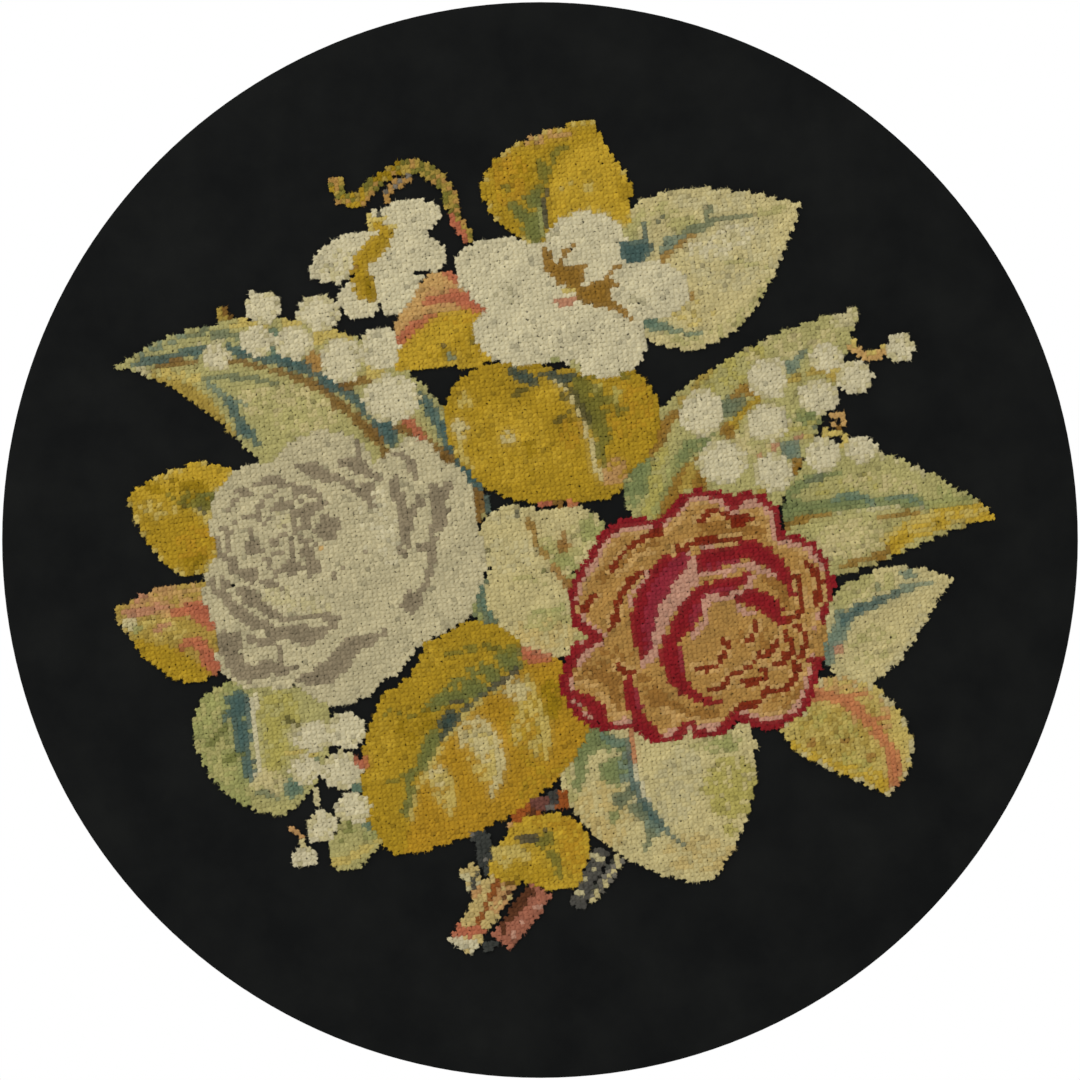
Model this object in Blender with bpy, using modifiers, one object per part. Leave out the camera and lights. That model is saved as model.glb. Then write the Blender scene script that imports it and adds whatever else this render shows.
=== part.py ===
"""Round embroidered panel: a black wool broadcloth ground with a bouquet in raised cross stitch.

The panel lies flat, face up. The origin is at the centre of the underside, +Z is the
normal of the face and +Y is the top of the bouquet. Sizes are metres.
"""
import math
from collections import namedtuple

import bmesh
import bpy
from mathutils import Vector

MM = 0.001

# Ground cloth: a disc of fulled wool broadcloth, cut raw
PANEL_DIAMETER = 420 * MM
CLOTH_THICKNESS = 1.6 * MM
EDGE_ROUNDING = 0.5 * MM
EDGE_ROUNDING_STEPS = 2
CLOTH_SIDES = 120

# Wool cross stitch: what the stitched motifs have in common
STITCH_HEIGHT = 1.2 * MM
STITCH_SEAT_GAP = 0.3 * MM
NEIGHBOUR_GAP = 0.3 * MM
CUTTER_OVERRUN = 2 * MM

# How finely the outlines are sampled
LEAF_STEPS = 13
BELL_RAYS = 14
BLOOM_RAYS = 48
RIBBON_STEPS_PER_SPAN = 3
MERGE_DISTANCE = 0.01 * MM
STRAIGHT_ANGLE = math.radians(0.1)
SHARP_EDGE_ANGLE = math.radians(40)

WOOL_ROUGHNESS = 0.9

WOOL_COLOURS = {
    "black": "#151616",
    "gold": "#B8901F",
    "cream": "#B5AC83",
    "ivory": "#C4BC96",
    "pale_green": "#A8A266",
    "coral": "#B97B45",
    "crimson": "#8C2A28",
    "tan": "#A8854A",
    "teal": "#4B695F",
    "grey": "#6E6A60",
}

# A leaf runs from its base to its tip. Left and right are its greatest half widths, seen
# from the base. A low round value makes a blunt base and a low point value a blunt tip.
# Bend moves the middle of the midrib to the left.
Leaf = namedtuple("Leaf", "name base tip left right round point_left point_right bend colour")
LEAVES = [
    Leaf("leaf_top", (-3, 115), (23, 164), 29, 30, 0.45, 1.0, 0.8, 0, "gold"),
    Leaf("leaf_coral_upper", (-18, 86), (-56, 66), 13.5, 26.5, 0.35, 1.5, 0.7, 0, "coral"),
    Leaf("leaf_big_yellow", (-3.5, -39.5), (-55, -123), 38.5, 38, 0.35, 0.9, 0.45, 0, "gold"),
    Leaf("leaf_upper_right", (30, 93), (101, 130.5), 30, 32, 0.5, 1.0, 1.0, 0, "pale_green"),
    Leaf("leaf_right_long", (96, -0.5), (177, 9), 33, 15, 0.4, 0.95, 1.6, 0, "pale_green"),
    Leaf("leaf_right_upper", (49, -2), (124, 89.5), 35.5, 25, 0.3, 0.85, 1.0, 0, "pale_green"),
    Leaf("leaf_right_small", (110.5, -45.5), (160, -16), 19.5, 18, 0.5, 0.7, 1.4, 0, "pale_green"),
    Leaf("leaf_right_coral", (102, -61), (136, -99), 24.5, 15.5, 0.3, 0.35, 1.2, 0, "coral"),
    Leaf("leaf_bottom_right", (37.5, -59), (65, -133), 37, 39.5, 0.4, 0.75, 0.75, 0,
         "pale_green"),
    Leaf("leaf_lower_left", (-106, -53.5), (-100.5, -106.5), 22, 31, 0.3, 0.6, 0.55, 0,
         "pale_green"),
    Leaf("leaf_left_yellow", (-119, 3.5), (-160, 17), 22, 22.5, 0.35, 0.8, 0.85, 0, "gold"),
    Leaf("leaf_left_coral", (-120, -39.5), (-165.5, -27.5), 19.5, 19.5, 0.4, 0.85, 0.95, 0,
         "coral"),
    Leaf("leaf_left_long", (-20, 10.5), (-164, 67.5), 35, 36.5, 0.8, 2.0, 0.8, -8, "pale_green"),
    Leaf("leaf_small_low", (-64, -107), (-80, -127.5), 8.5, 8, 0.4, 0.5, 0.5, 0, "pale_green"),
    Leaf("leaf_teal", (-25, -17), (-14.5, -35), 6.5, 6.5, 0.5, 0.7, 0.7, 0, "teal"),
]

# A bloom is the outer edge of overlapping oval petals, seen from its centre
Petal = namedtuple("Petal", "x y half_width half_height tilt")
Bloom = namedtuple("Bloom", "name centre petals colour")
BLOOMS = [
    Bloom("flower_white", (10, 94), [
        Petal(-12, 103, 21.5, 14.5, -12),
        Petal(18, 113, 17.5, 15, 10),
        Petal(41.5, 97.5, 17.5, 11.5, 0),
        Petal(-5.5, 81.5, 20.5, 13.5, 0),
        Petal(24, 77.5, 17.5, 14, 0),
    ], "ivory"),
    Bloom("flower_snowdrop", (-60, 110), [
        Petal(-76.5, 110, 14, 7.5, 30),
        Petal(-70, 95, 8, 9, 0),
        Petal(-56, 103, 9.5, 15.5, -15),
        Petal(-48.5, 112, 11.5, 8, -15),
        Petal(-50, 126, 11.5, 6.5, 0),
        Petal(-64, 124, 3.5, 4.5, 0),
    ], "ivory"),
    Bloom("rose_white", (-81.5, -12), [
        Petal(-83.5, 27, 19.5, 15.5, 0),
        Petal(-50.5, 25, 13.5, 15.5, 0),
        Petal(-36.5, 15, 11, 15, 0),
        Petal(-38.5, -8, 17.5, 21.5, 0),
        Petal(-44.5, -22, 18.5, 16.5, 0),
        Petal(-66, -39.5, 20.5, 20.5, 0),
        Petal(-79.5, -47.5, 17.5, 17, 0),
        Petal(-97, -46, 12, 12, 0),
        Petal(-111, -43.5, 15.5, 14.5, 0),
        Petal(-113, -20, 18, 19.5, 0),
        Petal(-108, 7.5, 20.5, 22.5, 0),
    ], "ivory"),
    Bloom("rose_red", (61.5, -29.5), [
        Petal(65, 7.5, 15.5, 12.5, 0),
        Petal(82.5, 5.5, 11.5, 13.5, 0),
        Petal(96, -18, 18.5, 21, 0),
        Petal(98, -39.5, 13.5, 17.5, 0),
        Petal(88.5, -55, 19, 18.5, 0),
        Petal(65, -59, 17.5, 18, 0),
        Petal(47.5, -59, 16.5, 20.5, 0),
        Petal(27.5, -55, 19.5, 19.5, 0),
        Petal(29.5, -24, 18.5, 19.5, 0),
        Petal(39.5, -8, 20.5, 16.5, 0),
    ], "crimson"),
    Bloom("leaf_central", (6.5, 42), [
        Petal(-6, 42.5, 32, 26, -25),
        Petal(23, 47, 23.5, 23.5, 0),
        Petal(18, 25.5, 15.5, 10.5, 0),
    ], "gold"),
    Bloom("leaf_pale_middle", (-3.5, -14), [
        Petal(-9.5, -0.5, 14, 13.5, 0),
        Petal(10, 1.5, 16.5, 11.5, 0),
        Petal(-3.5, -20, 17.5, 17.5, 0),
        Petal(4.5, -33.5, 15, 12.5, 0),
    ], "pale_green"),
    Bloom("leaf_bottom_yellow", (0.5, -123.5), [
        Petal(2.5, -120.5, 16.5, 14, 0),
        Petal(6.5, -129.5, 10, 7, 0),
        Petal(-11.5, -126, 8, 8.5, 0),
    ], "gold"),
]

# The bells are small round flowers worked in sprays, one short table for each spray
Bell = namedtuple("Bell", "x y half_width half_height")
BELL_SPRAYS = {
    "bell_right": [
        Bell(140.5, 75, 5, 5.5),
        Bell(122.5, 63.5, 7, 6.5),
        Bell(111.5, 71, 6.5, 5.5),
        Bell(89, 63, 8, 8.5),
        Bell(108.5, 56, 8, 6.5),
        Bell(63, 49.5, 8.5, 9.5),
        Bell(89, 46, 8.5, 7.5),
        Bell(71, 30.5, 10, 8.5),
        Bell(91, 26, 7.5, 8),
        Bell(110, 33, 7, 6.5),
        Bell(125, 35, 6.5, 5),
    ],
    "bell_left": [
        Bell(-108, 90.5, 7, 6),
        Bell(-86.5, 88.5, 8, 7),
        Bell(-110.5, 77.5, 6.5, 5.5),
        Bell(-95.5, 77, 8, 6.5),
        Bell(-126, 71, 5.5, 5),
        Bell(-77.5, 70, 8.5, 9),
        Bell(-62.5, 74.5, 8, 8),
        Bell(-58, 55, 11.5, 9.5),
    ],
    "bell_low": [
        Bell(-88.5, -76.5, 8, 6),
        Bell(-75.5, -74, 8, 6.5),
        Bell(-92, -89.5, 6, 5.5),
        Bell(-77, -89.5, 8, 7),
        Bell(-72.5, -104.5, 7, 5.5),
        Bell(-85, -111.5, 5.5, 6),
        Bell(-92, -124, 4.5, 3.5),
    ],
}

# A stem follows a smooth line through its points and tapers from its first to its last width
Stem = namedtuple("Stem", "name points first_width last_width colour")
STEMS = [
    Stem("tendril", [(-79.5, 141), (-77.5, 134), (-71, 132.5), (-62, 141), (-49, 146), (-36.5, 138),
                     (-34, 128), (-27.5, 116.5)], 4.6, 3.4, "tan"),
    Stem("stem_snowdrop", [(-60, 131), (-59, 136), (-55, 139.5), (-50.5, 141)], 2.6, 2.2, "tan"),
    Stem("stem_upper", [(11, -101), (2, -102.5), (-7.5, -107.5), (-11, -117)], 6, 4.5, "coral"),
    Stem("stem_teal", [(-24.5, -113.5), (-21.5, -121.5), (-20.5, -129.5)], 6, 3.5, "teal"),
    Stem("stem_main", [(-13, -130), (-20, -142), (-25.5, -150), (-31, -158.5)], 11, 10, "tan"),
    Stem("stem_thorn", [(-28.5, -127.5), (-25.5, -134), (-22, -141)], 6, 6, "tan"),
    Stem("stem_coral", [(0.5, -136), (-7.5, -147), (-15, -157)], 9.5, 9, "coral"),
    Stem("stem_grey", [(24, -121), (20, -130), (14.5, -142.5)], 5, 5, "grey"),
    Stem("stem_pale", [(31, -124.5), (25.5, -132.5), (19.5, -140)], 3.6, 3.4, "cream"),
    Stem("stem_right_sprig", [(136, 74.5), (128.5, 72), (124, 74), (120, 77.5)], 2.6, 2.6, "tan"),
]


def linear_colour(hex_colour):
    """Turn an sRGB hex colour into the linear RGBA that a shader takes."""
    channels = [int(hex_colour[start:start + 2], 16) / 255 for start in (1, 3, 5)]
    linear = [c / 12.92 if c <= 0.04045 else ((c + 0.055) / 1.055) ** 2.4 for c in channels]
    return (*linear, 1.0)


def make_material(name, colour):
    """Make the wool material of one piece."""
    material = bpy.data.materials.new(name)
    material.use_nodes = True
    surface = material.node_tree.nodes["Principled BSDF"]
    surface.inputs["Base Color"].default_value = linear_colour(WOOL_COLOURS[colour])
    surface.inputs["Roughness"].default_value = WOOL_ROUGHNESS
    surface.inputs["Metallic"].default_value = 0.0
    return material


def make_collection(name):
    collection = bpy.data.collections.new(name)
    bpy.context.scene.collection.children.link(collection)
    return collection


def leaf_outline(leaf):
    """Walk up the left side of a leaf and back down its right side."""
    base = Vector(leaf.base) * MM
    tip = Vector(leaf.tip) * MM
    along = tip - base
    leftward = Vector((-along.y, along.x)).normalized()

    def half_width(t, width, point):
        crest = leaf.round / (leaf.round + point)
        shape = t ** leaf.round * (1 - t) ** point
        return width * MM * shape / (crest ** leaf.round * (1 - crest) ** point)

    def midrib(t):
        return base + along * t + leftward * leaf.bend * MM * 4 * t * (1 - t)

    places = [0.5 - 0.5 * math.cos(math.pi * step / LEAF_STEPS) for step in range(LEAF_STEPS + 1)]
    left_side = [midrib(t) + leftward * half_width(t, leaf.left, leaf.point_left)
                 for t in places]
    right_side = [midrib(t) - leftward * half_width(t, leaf.right, leaf.point_right)
                  for t in places[1:-1]]
    return left_side + right_side[::-1]


def reach_of_petal(centre, direction, petal):
    """Distance from the centre to the far side of an oval petal along one ray."""
    turn = math.radians(petal.tilt)
    across = Vector((math.cos(turn), math.sin(turn)))
    upward = Vector((-math.sin(turn), math.cos(turn)))
    offset = centre - Vector((petal.x, petal.y))
    start = Vector((offset.dot(across) / petal.half_width, offset.dot(upward) / petal.half_height))
    step = Vector((direction.dot(across) / petal.half_width,
                   direction.dot(upward) / petal.half_height))
    spread = start.dot(step) ** 2 - step.dot(step) * (start.dot(start) - 1)
    if spread < 0:
        return 0
    return (math.sqrt(spread) - start.dot(step)) / step.dot(step)


def bloom_outline(centre, petals, rays):
    """Join the farthest petal edge on each ray round the centre."""
    middle = Vector(centre)
    outline = []
    for ray in range(rays):
        angle = math.tau * ray / rays
        direction = Vector((math.cos(angle), math.sin(angle)))
        reach = max(reach_of_petal(middle, direction, petal) for petal in petals)
        outline.append((middle + direction * reach) * MM)
    return outline


def smooth_line(points, steps_per_span):
    """Catmull-Rom curve through the points, which passes through each of them."""
    guides = [points[0] * 2 - points[1], *points, points[-1] * 2 - points[-2]]
    line = []
    for before, start, end, after in zip(guides, guides[1:], guides[2:], guides[3:]):
        for step in range(steps_per_span):
            t = step / steps_per_span
            line.append(0.5 * (2 * start + (end - before) * t
                               + (2 * before - 5 * start + 4 * end - after) * t ** 2
                               + (3 * start - before - 3 * end + after) * t ** 3))
    return line + [points[-1]]


def stem_outline(stem):
    """Offset the stem's centre line to both sides by half its width."""
    line = smooth_line([Vector(point) * MM for point in stem.points], RIBBON_STEPS_PER_SPAN)
    left_side = []
    right_side = []
    for index, point in enumerate(line):
        ahead = line[min(index + 1, len(line) - 1)]
        behind = line[max(index - 1, 0)]
        heading = (ahead - behind).normalized()
        share = index / (len(line) - 1)
        width = stem.first_width * (1 - share) + stem.last_width * share
        sideways = Vector((-heading.y, heading.x)) * width * MM / 2
        left_side.append(point + sideways)
        right_side.append(point - sideways)
    return left_side + right_side[::-1]


def grown_outline(outline, margin):
    """Move each point outward, along the normal between its neighbours."""
    turning = sum(a.x * b.y - b.x * a.y for a, b in zip(outline, outline[1:] + outline[:1]))
    outward = 1 if turning > 0 else -1
    grown = []
    for index, point in enumerate(outline):
        heading = outline[(index + 1) % len(outline)] - outline[index - 1]
        normal = Vector((heading.y, -heading.x)).normalized()
        grown.append(point + normal * outward * margin)
    return grown


def prism(name, outline, bottom, top, collection):
    """A flat outline with thickness, as a closed mesh between two heights."""
    curve = bpy.data.curves.new(name, "CURVE")
    curve.dimensions = "2D"
    curve.fill_mode = "BOTH"
    curve.extrude = (top - bottom) / 2
    spline = curve.splines.new("POLY")
    spline.points.add(len(outline) - 1)
    for spline_point, point in zip(spline.points, outline):
        spline_point.co = (point.x, point.y, 0, 1)
    spline.use_cyclic_u = True
    flat = bpy.data.objects.new(name + "_outline", curve)
    flat.location.z = (top + bottom) / 2
    collection.objects.link(flat)
    bpy.context.view_layer.update()

    evaluated = flat.evaluated_get(bpy.context.evaluated_depsgraph_get())
    mesh = bpy.data.meshes.new_from_object(evaluated)
    mesh.name = name
    solid = bpy.data.objects.new(name, mesh)
    solid.matrix_world = flat.matrix_world
    collection.objects.link(solid)
    bpy.data.objects.remove(flat)

    shape = bmesh.new()
    shape.from_mesh(mesh)
    bmesh.ops.remove_doubles(shape, verts=shape.verts, dist=MERGE_DISTANCE)
    bmesh.ops.dissolve_limit(shape, angle_limit=STRAIGHT_ANGLE, verts=shape.verts,
                             edges=shape.edges)
    bmesh.ops.recalc_face_normals(shape, faces=shape.faces)
    shape.to_mesh(mesh)
    shape.free()
    return solid


def boxes_meet(first, second):
    """Whether the outlines' boxes overlap in plan."""
    for axis in (0, 1):
        if max(p[axis] for p in first) < min(p[axis] for p in second):
            return False
        if max(p[axis] for p in second) < min(p[axis] for p in first):
            return False
    return True


def drop_offcuts(shape):
    """Keep the largest piece of a mesh that the cuts have parted."""
    unseen = set(shape.faces)
    pieces = []
    while unseen:
        piece = set()
        front = [unseen.pop()]
        while front:
            face = front.pop()
            piece.add(face)
            for edge in face.edges:
                for neighbour in edge.link_faces:
                    if neighbour in unseen:
                        unseen.remove(neighbour)
                        front.append(neighbour)
        pieces.append(piece)
    pieces.sort(key=lambda piece: sum(face.calc_area() for face in piece))
    offcuts = [face for piece in pieces[:-1] for face in piece]
    bmesh.ops.delete(shape, geom=offcuts, context="FACES")


def cut_away(solid, cutters):
    """Cut the motifs that lie in front out of a stitched motif."""
    for cutter in cutters:
        boolean = solid.modifiers.new("behind " + cutter.name, "BOOLEAN")
        boolean.operation = "DIFFERENCE"
        boolean.solver = "EXACT"
        boolean.object = cutter
    bpy.context.view_layer.update()
    evaluated = solid.evaluated_get(bpy.context.evaluated_depsgraph_get())
    whole = solid.data
    cut = bpy.data.meshes.new_from_object(evaluated)
    cut.name = whole.name
    solid.modifiers.clear()
    solid.data = cut

    shape = bmesh.new()
    shape.from_mesh(cut)
    bmesh.ops.remove_doubles(shape, verts=shape.verts, dist=MERGE_DISTANCE)
    drop_offcuts(shape)
    shape.to_mesh(cut)
    shape.free()


def make_ground_cloth(collection):
    """The broadcloth disc, its raw edge softened by wear."""
    bpy.ops.mesh.primitive_cylinder_add(vertices=CLOTH_SIDES, radius=PANEL_DIAMETER / 2,
                                        depth=CLOTH_THICKNESS,
                                        location=(0, 0, CLOTH_THICKNESS / 2))
    cloth = bpy.context.active_object
    cloth.name = "ground_cloth"
    cloth.data.name = "ground_cloth"
    for holder in list(cloth.users_collection):
        holder.objects.unlink(cloth)
    collection.objects.link(cloth)
    rounding = cloth.modifiers.new("worn edge", "BEVEL")
    rounding.width = EDGE_ROUNDING
    rounding.segments = EDGE_ROUNDING_STEPS
    rounding.limit_method = "ANGLE"
    rounding.angle_limit = SHARP_EDGE_ANGLE
    cloth.data.materials.append(make_material("ground_cloth_wool", "black"))


def motif_outlines():
    """Every stitched motif as name, outline and colour, the ones in front first."""
    motifs = []
    for spray, bells in BELL_SPRAYS.items():
        for number, bell in enumerate(bells, start=1):
            petal = Petal(bell.x, bell.y, bell.half_width, bell.half_height, 0)
            outline = bloom_outline((bell.x, bell.y), [petal], BELL_RAYS)
            motifs.append((f"{spray}_{number:02d}", outline, "ivory"))
    for bloom in BLOOMS:
        motifs.append((bloom.name, bloom_outline(bloom.centre, bloom.petals, BLOOM_RAYS),
                       bloom.colour))
    for leaf in LEAVES:
        motifs.append((leaf.name, leaf_outline(leaf), leaf.colour))
    for stem in STEMS:
        motifs.append((stem.name, stem_outline(stem), stem.colour))
    return motifs


def make_motifs(collection, cutter_collection):
    """Build each motif, cut back where another one lies over it."""
    bottom = CLOTH_THICKNESS + STITCH_SEAT_GAP
    top = bottom + STITCH_HEIGHT
    in_front = []
    for name, outline, colour in motif_outlines():
        solid = prism(name, outline, bottom, top, collection)
        cutters = [cutter for cutter, shape in in_front if boxes_meet(shape, outline)]
        if cutters:
            cut_away(solid, cutters)
        solid.data.materials.clear()
        solid.data.materials.append(make_material(name + "_wool", colour))
        margin = grown_outline(outline, NEIGHBOUR_GAP)
        cutter = prism("room_for_" + name, margin, bottom - CUTTER_OVERRUN, top + CUTTER_OVERRUN,
                       cutter_collection)
        cutter.hide_render = True
        cutter.display_type = "WIRE"
        in_front.append((cutter, margin))


def main():
    for old in list(bpy.data.objects):
        bpy.data.objects.remove(old)
    panel = make_collection("embroidered_panel")
    cutters = make_collection("cutters")
    make_ground_cloth(panel)
    make_motifs(panel, cutters)


main()
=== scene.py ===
# %% [markdown]
# # A round embroidered panel in wool cross stitch
#
# The real object is a disc of black broadcloth, 420 mm across, with a bouquet of roses, bells and
# leaves worked on it in wool. Such work was counted over an open canvas that was laid on the
# cloth. When the last stitch was in, the threads of the canvas were drawn out, and only the
# crosses stayed on the cloth.
#
# This script follows the same order. It lays the cloth, rules the lines of the canvas over it,
# picks a shade of wool for each crossing of its threads and then works every cross as two short
# arched legs of yarn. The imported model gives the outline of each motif.

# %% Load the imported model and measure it
import math
from collections import Counter, namedtuple

import bpy
import numpy as np
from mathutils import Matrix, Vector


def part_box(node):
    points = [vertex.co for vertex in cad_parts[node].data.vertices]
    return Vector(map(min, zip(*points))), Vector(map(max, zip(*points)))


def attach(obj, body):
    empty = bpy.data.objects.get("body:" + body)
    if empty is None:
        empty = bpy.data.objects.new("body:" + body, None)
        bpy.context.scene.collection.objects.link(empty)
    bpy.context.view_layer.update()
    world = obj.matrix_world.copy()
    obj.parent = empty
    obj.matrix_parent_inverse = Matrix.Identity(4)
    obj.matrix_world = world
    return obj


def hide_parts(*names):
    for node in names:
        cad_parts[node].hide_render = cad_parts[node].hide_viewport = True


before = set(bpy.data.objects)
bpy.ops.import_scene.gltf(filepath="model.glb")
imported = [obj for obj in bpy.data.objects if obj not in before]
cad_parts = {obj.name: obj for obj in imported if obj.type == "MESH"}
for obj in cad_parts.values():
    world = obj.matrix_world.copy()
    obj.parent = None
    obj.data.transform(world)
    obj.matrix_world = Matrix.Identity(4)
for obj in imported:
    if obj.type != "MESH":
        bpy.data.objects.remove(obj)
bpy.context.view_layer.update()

MM = 0.001
cloth_low, cloth_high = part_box("ground_cloth")
CLOTH_RADIUS = (cloth_high.x - cloth_low.x) / 2
CLOTH_TOP = cloth_high.z
MOTIFS = sorted(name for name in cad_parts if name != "ground_cloth")
SEED = 14
chance = np.random.default_rng(SEED)
print(f"cloth {2 * CLOTH_RADIUS / MM:.0f} mm across and {CLOTH_TOP / MM:.1f} mm thick,",
      len(MOTIFS), "motifs")

# %% [markdown]
# ## The wools
#
# Each shade is written as the sRGB hex colour of the wool. A shader works with linear light, so
# one function turns the hex text into linear numbers. The wools are old and have faded, which is
# why no shade is pure.

# %% Shades of wool
SHADES = {
    "gold_deep": "#94770F",
    "gold": "#A98920",
    "gold_bright": "#BA992C",
    "gold_orange": "#AE8620",
    "old_gold": "#A58C3E",
    "straw": "#BEA95C",
    "straw_pale": "#BDA76A",
    "cream_yellow": "#C2B47F",
    "cream": "#BDB285",
    "ivory": "#C9BF9B",
    "ivory_shade": "#ABA27F",
    "rose_cream": "#BDB28C",
    "rose_grey": "#8B7E64",
    "dark_olive": "#4A4622",
    "olive": "#726C2A",
    "olive_green": "#6D7038",
    "lime": "#ABA054",
    "pale_green": "#ABA368",
    "light_green": "#96965A",
    "green": "#788150",
    "green_grey": "#6A7256",
    "teal_light": "#637863",
    "grey_teal": "#6F7E6A",
    "teal": "#48605A",
    "dark_teal": "#364740",
    "tan_light": "#BE985C",
    "tan": "#AB8344",
    "tan_deep": "#94692F",
    "brown_gold": "#8F6A26",
    "brown": "#7B5A26",
    "dark_brown": "#54301A",
    "brown_red": "#71463A",
    "rust_brown": "#8A4A1C",
    "rust": "#781F09",
    "peach": "#B68C58",
    "peach_deep": "#B9744A",
    "salmon": "#B27C5E",
    "salmon_dark": "#A0644C",
    "coral_deep": "#96501F",
    "coral": "#B36648",
    "crimson": "#86181F",
    "wine": "#8B2733",
    "pink": "#BE9078",
    "grey": "#6E6A60",
    "grey_dark": "#4C4A44",
    "charcoal": "#3B3D38",
}
CLOTH_BLACK = "#121313"
CLOTH_WORN = "#191A19"


def linear(hex_colour):
    """Turn an sRGB hex colour into linear red, green and blue."""
    channels = np.array([int(hex_colour[start:start + 2], 16) for start in (1, 3, 5)]) / 255
    return np.where(channels <= 0.04045, channels / 12.92, ((channels + 0.055) / 1.055) ** 2.4)


print(len(SHADES), "shades of wool")

# %% [markdown]
# ## The canvas
#
# The canvas gave the stitches their places. Its threads lay 1.89 mm apart along a row and 1.73 mm
# from row to row, and the worker laid it a little askew, so the rows climb to the right by nearly
# 7 degrees. The cell below rules that grid over the whole disc, in millimetres.
#
# A crossing belongs to the motif whose outline it lies in. The outline is read from the flat top
# of the motif's solid: an edge that only one of the top faces uses is an edge of the outline.

# %% Stitch places and their motifs
ROW_CLIMB = math.radians(6.8)
STITCH_LENGTH = 1.891
ROW_PITCH = 1.731
REACH_PAST_OUTLINE = 0.25
SEARCH_MARGIN = 1
FACES_UP = 0.9
NEARLY_LEVEL = 1e-9
ALONG_ROW = np.array([math.cos(ROW_CLIMB), math.sin(ROW_CLIMB)])
UP_COLUMN = np.array([-math.sin(ROW_CLIMB), math.cos(ROW_CLIMB)])


def canvas_crossings():
    """Rule the canvas over the disc and return the middle of each stitch."""
    reach = int(CLOTH_RADIUS / MM / ROW_PITCH) + 1
    columns, rows = np.meshgrid(np.arange(-reach, reach + 1), np.arange(-reach, reach + 1))
    along = columns.ravel()[:, None] * STITCH_LENGTH * ALONG_ROW
    upward = rows.ravel()[:, None] * ROW_PITCH * UP_COLUMN
    places = along + upward
    return places[np.hypot(*places.T) < CLOTH_RADIUS / MM - STITCH_LENGTH]


def outline_edges(node):
    """The edges round the flat top of a solid, each as two points in millimetres."""
    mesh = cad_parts[node].data
    uses = Counter()
    for face in mesh.polygons:
        if face.normal.z < FACES_UP:
            continue
        corners = [mesh.vertices[index].co for index in face.vertices]
        corners = [(round(c.x / MM, 3), round(c.y / MM, 3)) for c in corners]
        for start, end in zip(corners, corners[1:] + corners[:1]):
            uses[tuple(sorted((start, end)))] += 1
    return np.array([edge for edge, count in uses.items() if count == 1])


def distance_to_edges(places, edges):
    """Distance from each place to the nearest edge, and which edge and point of it that is."""
    start = edges[None, :, 0]
    run = edges[None, :, 1] - start
    offset = places[:, None] - start
    share = np.clip((offset * run).sum(2) / (run ** 2).sum(2), 0, 1)
    gaps = np.linalg.norm(offset - share[..., None] * run, axis=2)
    nearest = gaps.argmin(1)
    picked = np.arange(len(places))
    return gaps[picked, nearest], nearest, share[picked, nearest]


def signed_distance(places, edges):
    """Distance to a closed outline, negative inside it."""
    distance = distance_to_edges(places, edges)[0]
    x, y = places.T[:, :, None]
    (start_x, start_y), (end_x, end_y) = edges[:, 0].T, edges[:, 1].T
    rise = np.where(end_y == start_y, NEARLY_LEVEL, end_y - start_y)
    crossed = (start_y > y) != (end_y > y)
    crossed &= x < start_x + (y - start_y) * (end_x - start_x) / rise
    inside = crossed.sum(1) % 2 == 1
    return np.where(inside, -distance, distance)


def share_out(places):
    """Give each stitch to the motif whose outline it lies deepest in."""
    owner = np.full(len(places), -1)
    depth = np.full(len(places), REACH_PAST_OUTLINE)
    for number, motif in enumerate(MOTIFS):
        edges = outline_edges(motif)
        corners = edges.reshape(-1, 2)
        low, high = corners.min(0) - SEARCH_MARGIN, corners.max(0) + SEARCH_MARGIN
        near = np.flatnonzero(((places > low) & (places < high)).all(1))
        distance = signed_distance(places[near], edges)
        deeper = distance < depth[near]
        owner[near[deeper]] = number
        depth[near[deeper]] = distance[deeper]
    return owner, depth


crossings = canvas_crossings()
owner, edge_depth = share_out(crossings)
print(len(crossings), "crossings of the canvas,", (owner >= 0).sum(), "of them stitched")

# %% [markdown]
# ## The drawing
#
# A worker of such a bouquet painted with wool: a leaf is a ground shade, then its shadows, veins
# and lights. The tables below do the same. Each motif has a ground shade and a short list of
# marks, which lie over each other in the order of the list. All places and sizes are millimetres
# from the middle of the panel.
#
# - `Patch` is an oval, given by its middle, its half sizes and its tilt in degrees.
# - `Line` is a smooth stroke through a few points, each with the stroke's width there.
# - `Side` covers all that lies to the left of a line, as it runs.
# - `Rim` follows the motif's own edge, to a width inside it.
# - `in_shade` makes several marks of one shade: lists of points become lines, tuples patches.
# - A mark in `BARE` takes stitches away, where the wool stops short of the solid's outline.
#
# A share below 1 leaves some of the stitches under a mark as they were, which is how the worker
# blended two shades.

# %% Kinds of mark
Patch = namedtuple("Patch", "shade x y half_width half_height tilt share", defaults=(0, 1))
Line = namedtuple("Line", "shade points share", defaults=(1,))
Side = namedtuple("Side", "shade points share", defaults=(1,))
Rim = namedtuple("Rim", "shade width share", defaults=(1,))
Motif = namedtuple("Motif", "ground marks")
BARE = "bare"
DRAWINGS = {}


def in_shade(shade, drawn, share=1):
    """Several marks in one shade: a list of points is a line, a tuple of sizes a patch."""
    return [Line(shade, mark, share) if isinstance(mark, list) else Patch(shade, *mark, share=share)
            for mark in drawn]


for kind in (Patch, Line, Side, Rim):
    print(f"{kind.__name__}: {', '.join(kind._fields)}")

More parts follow.
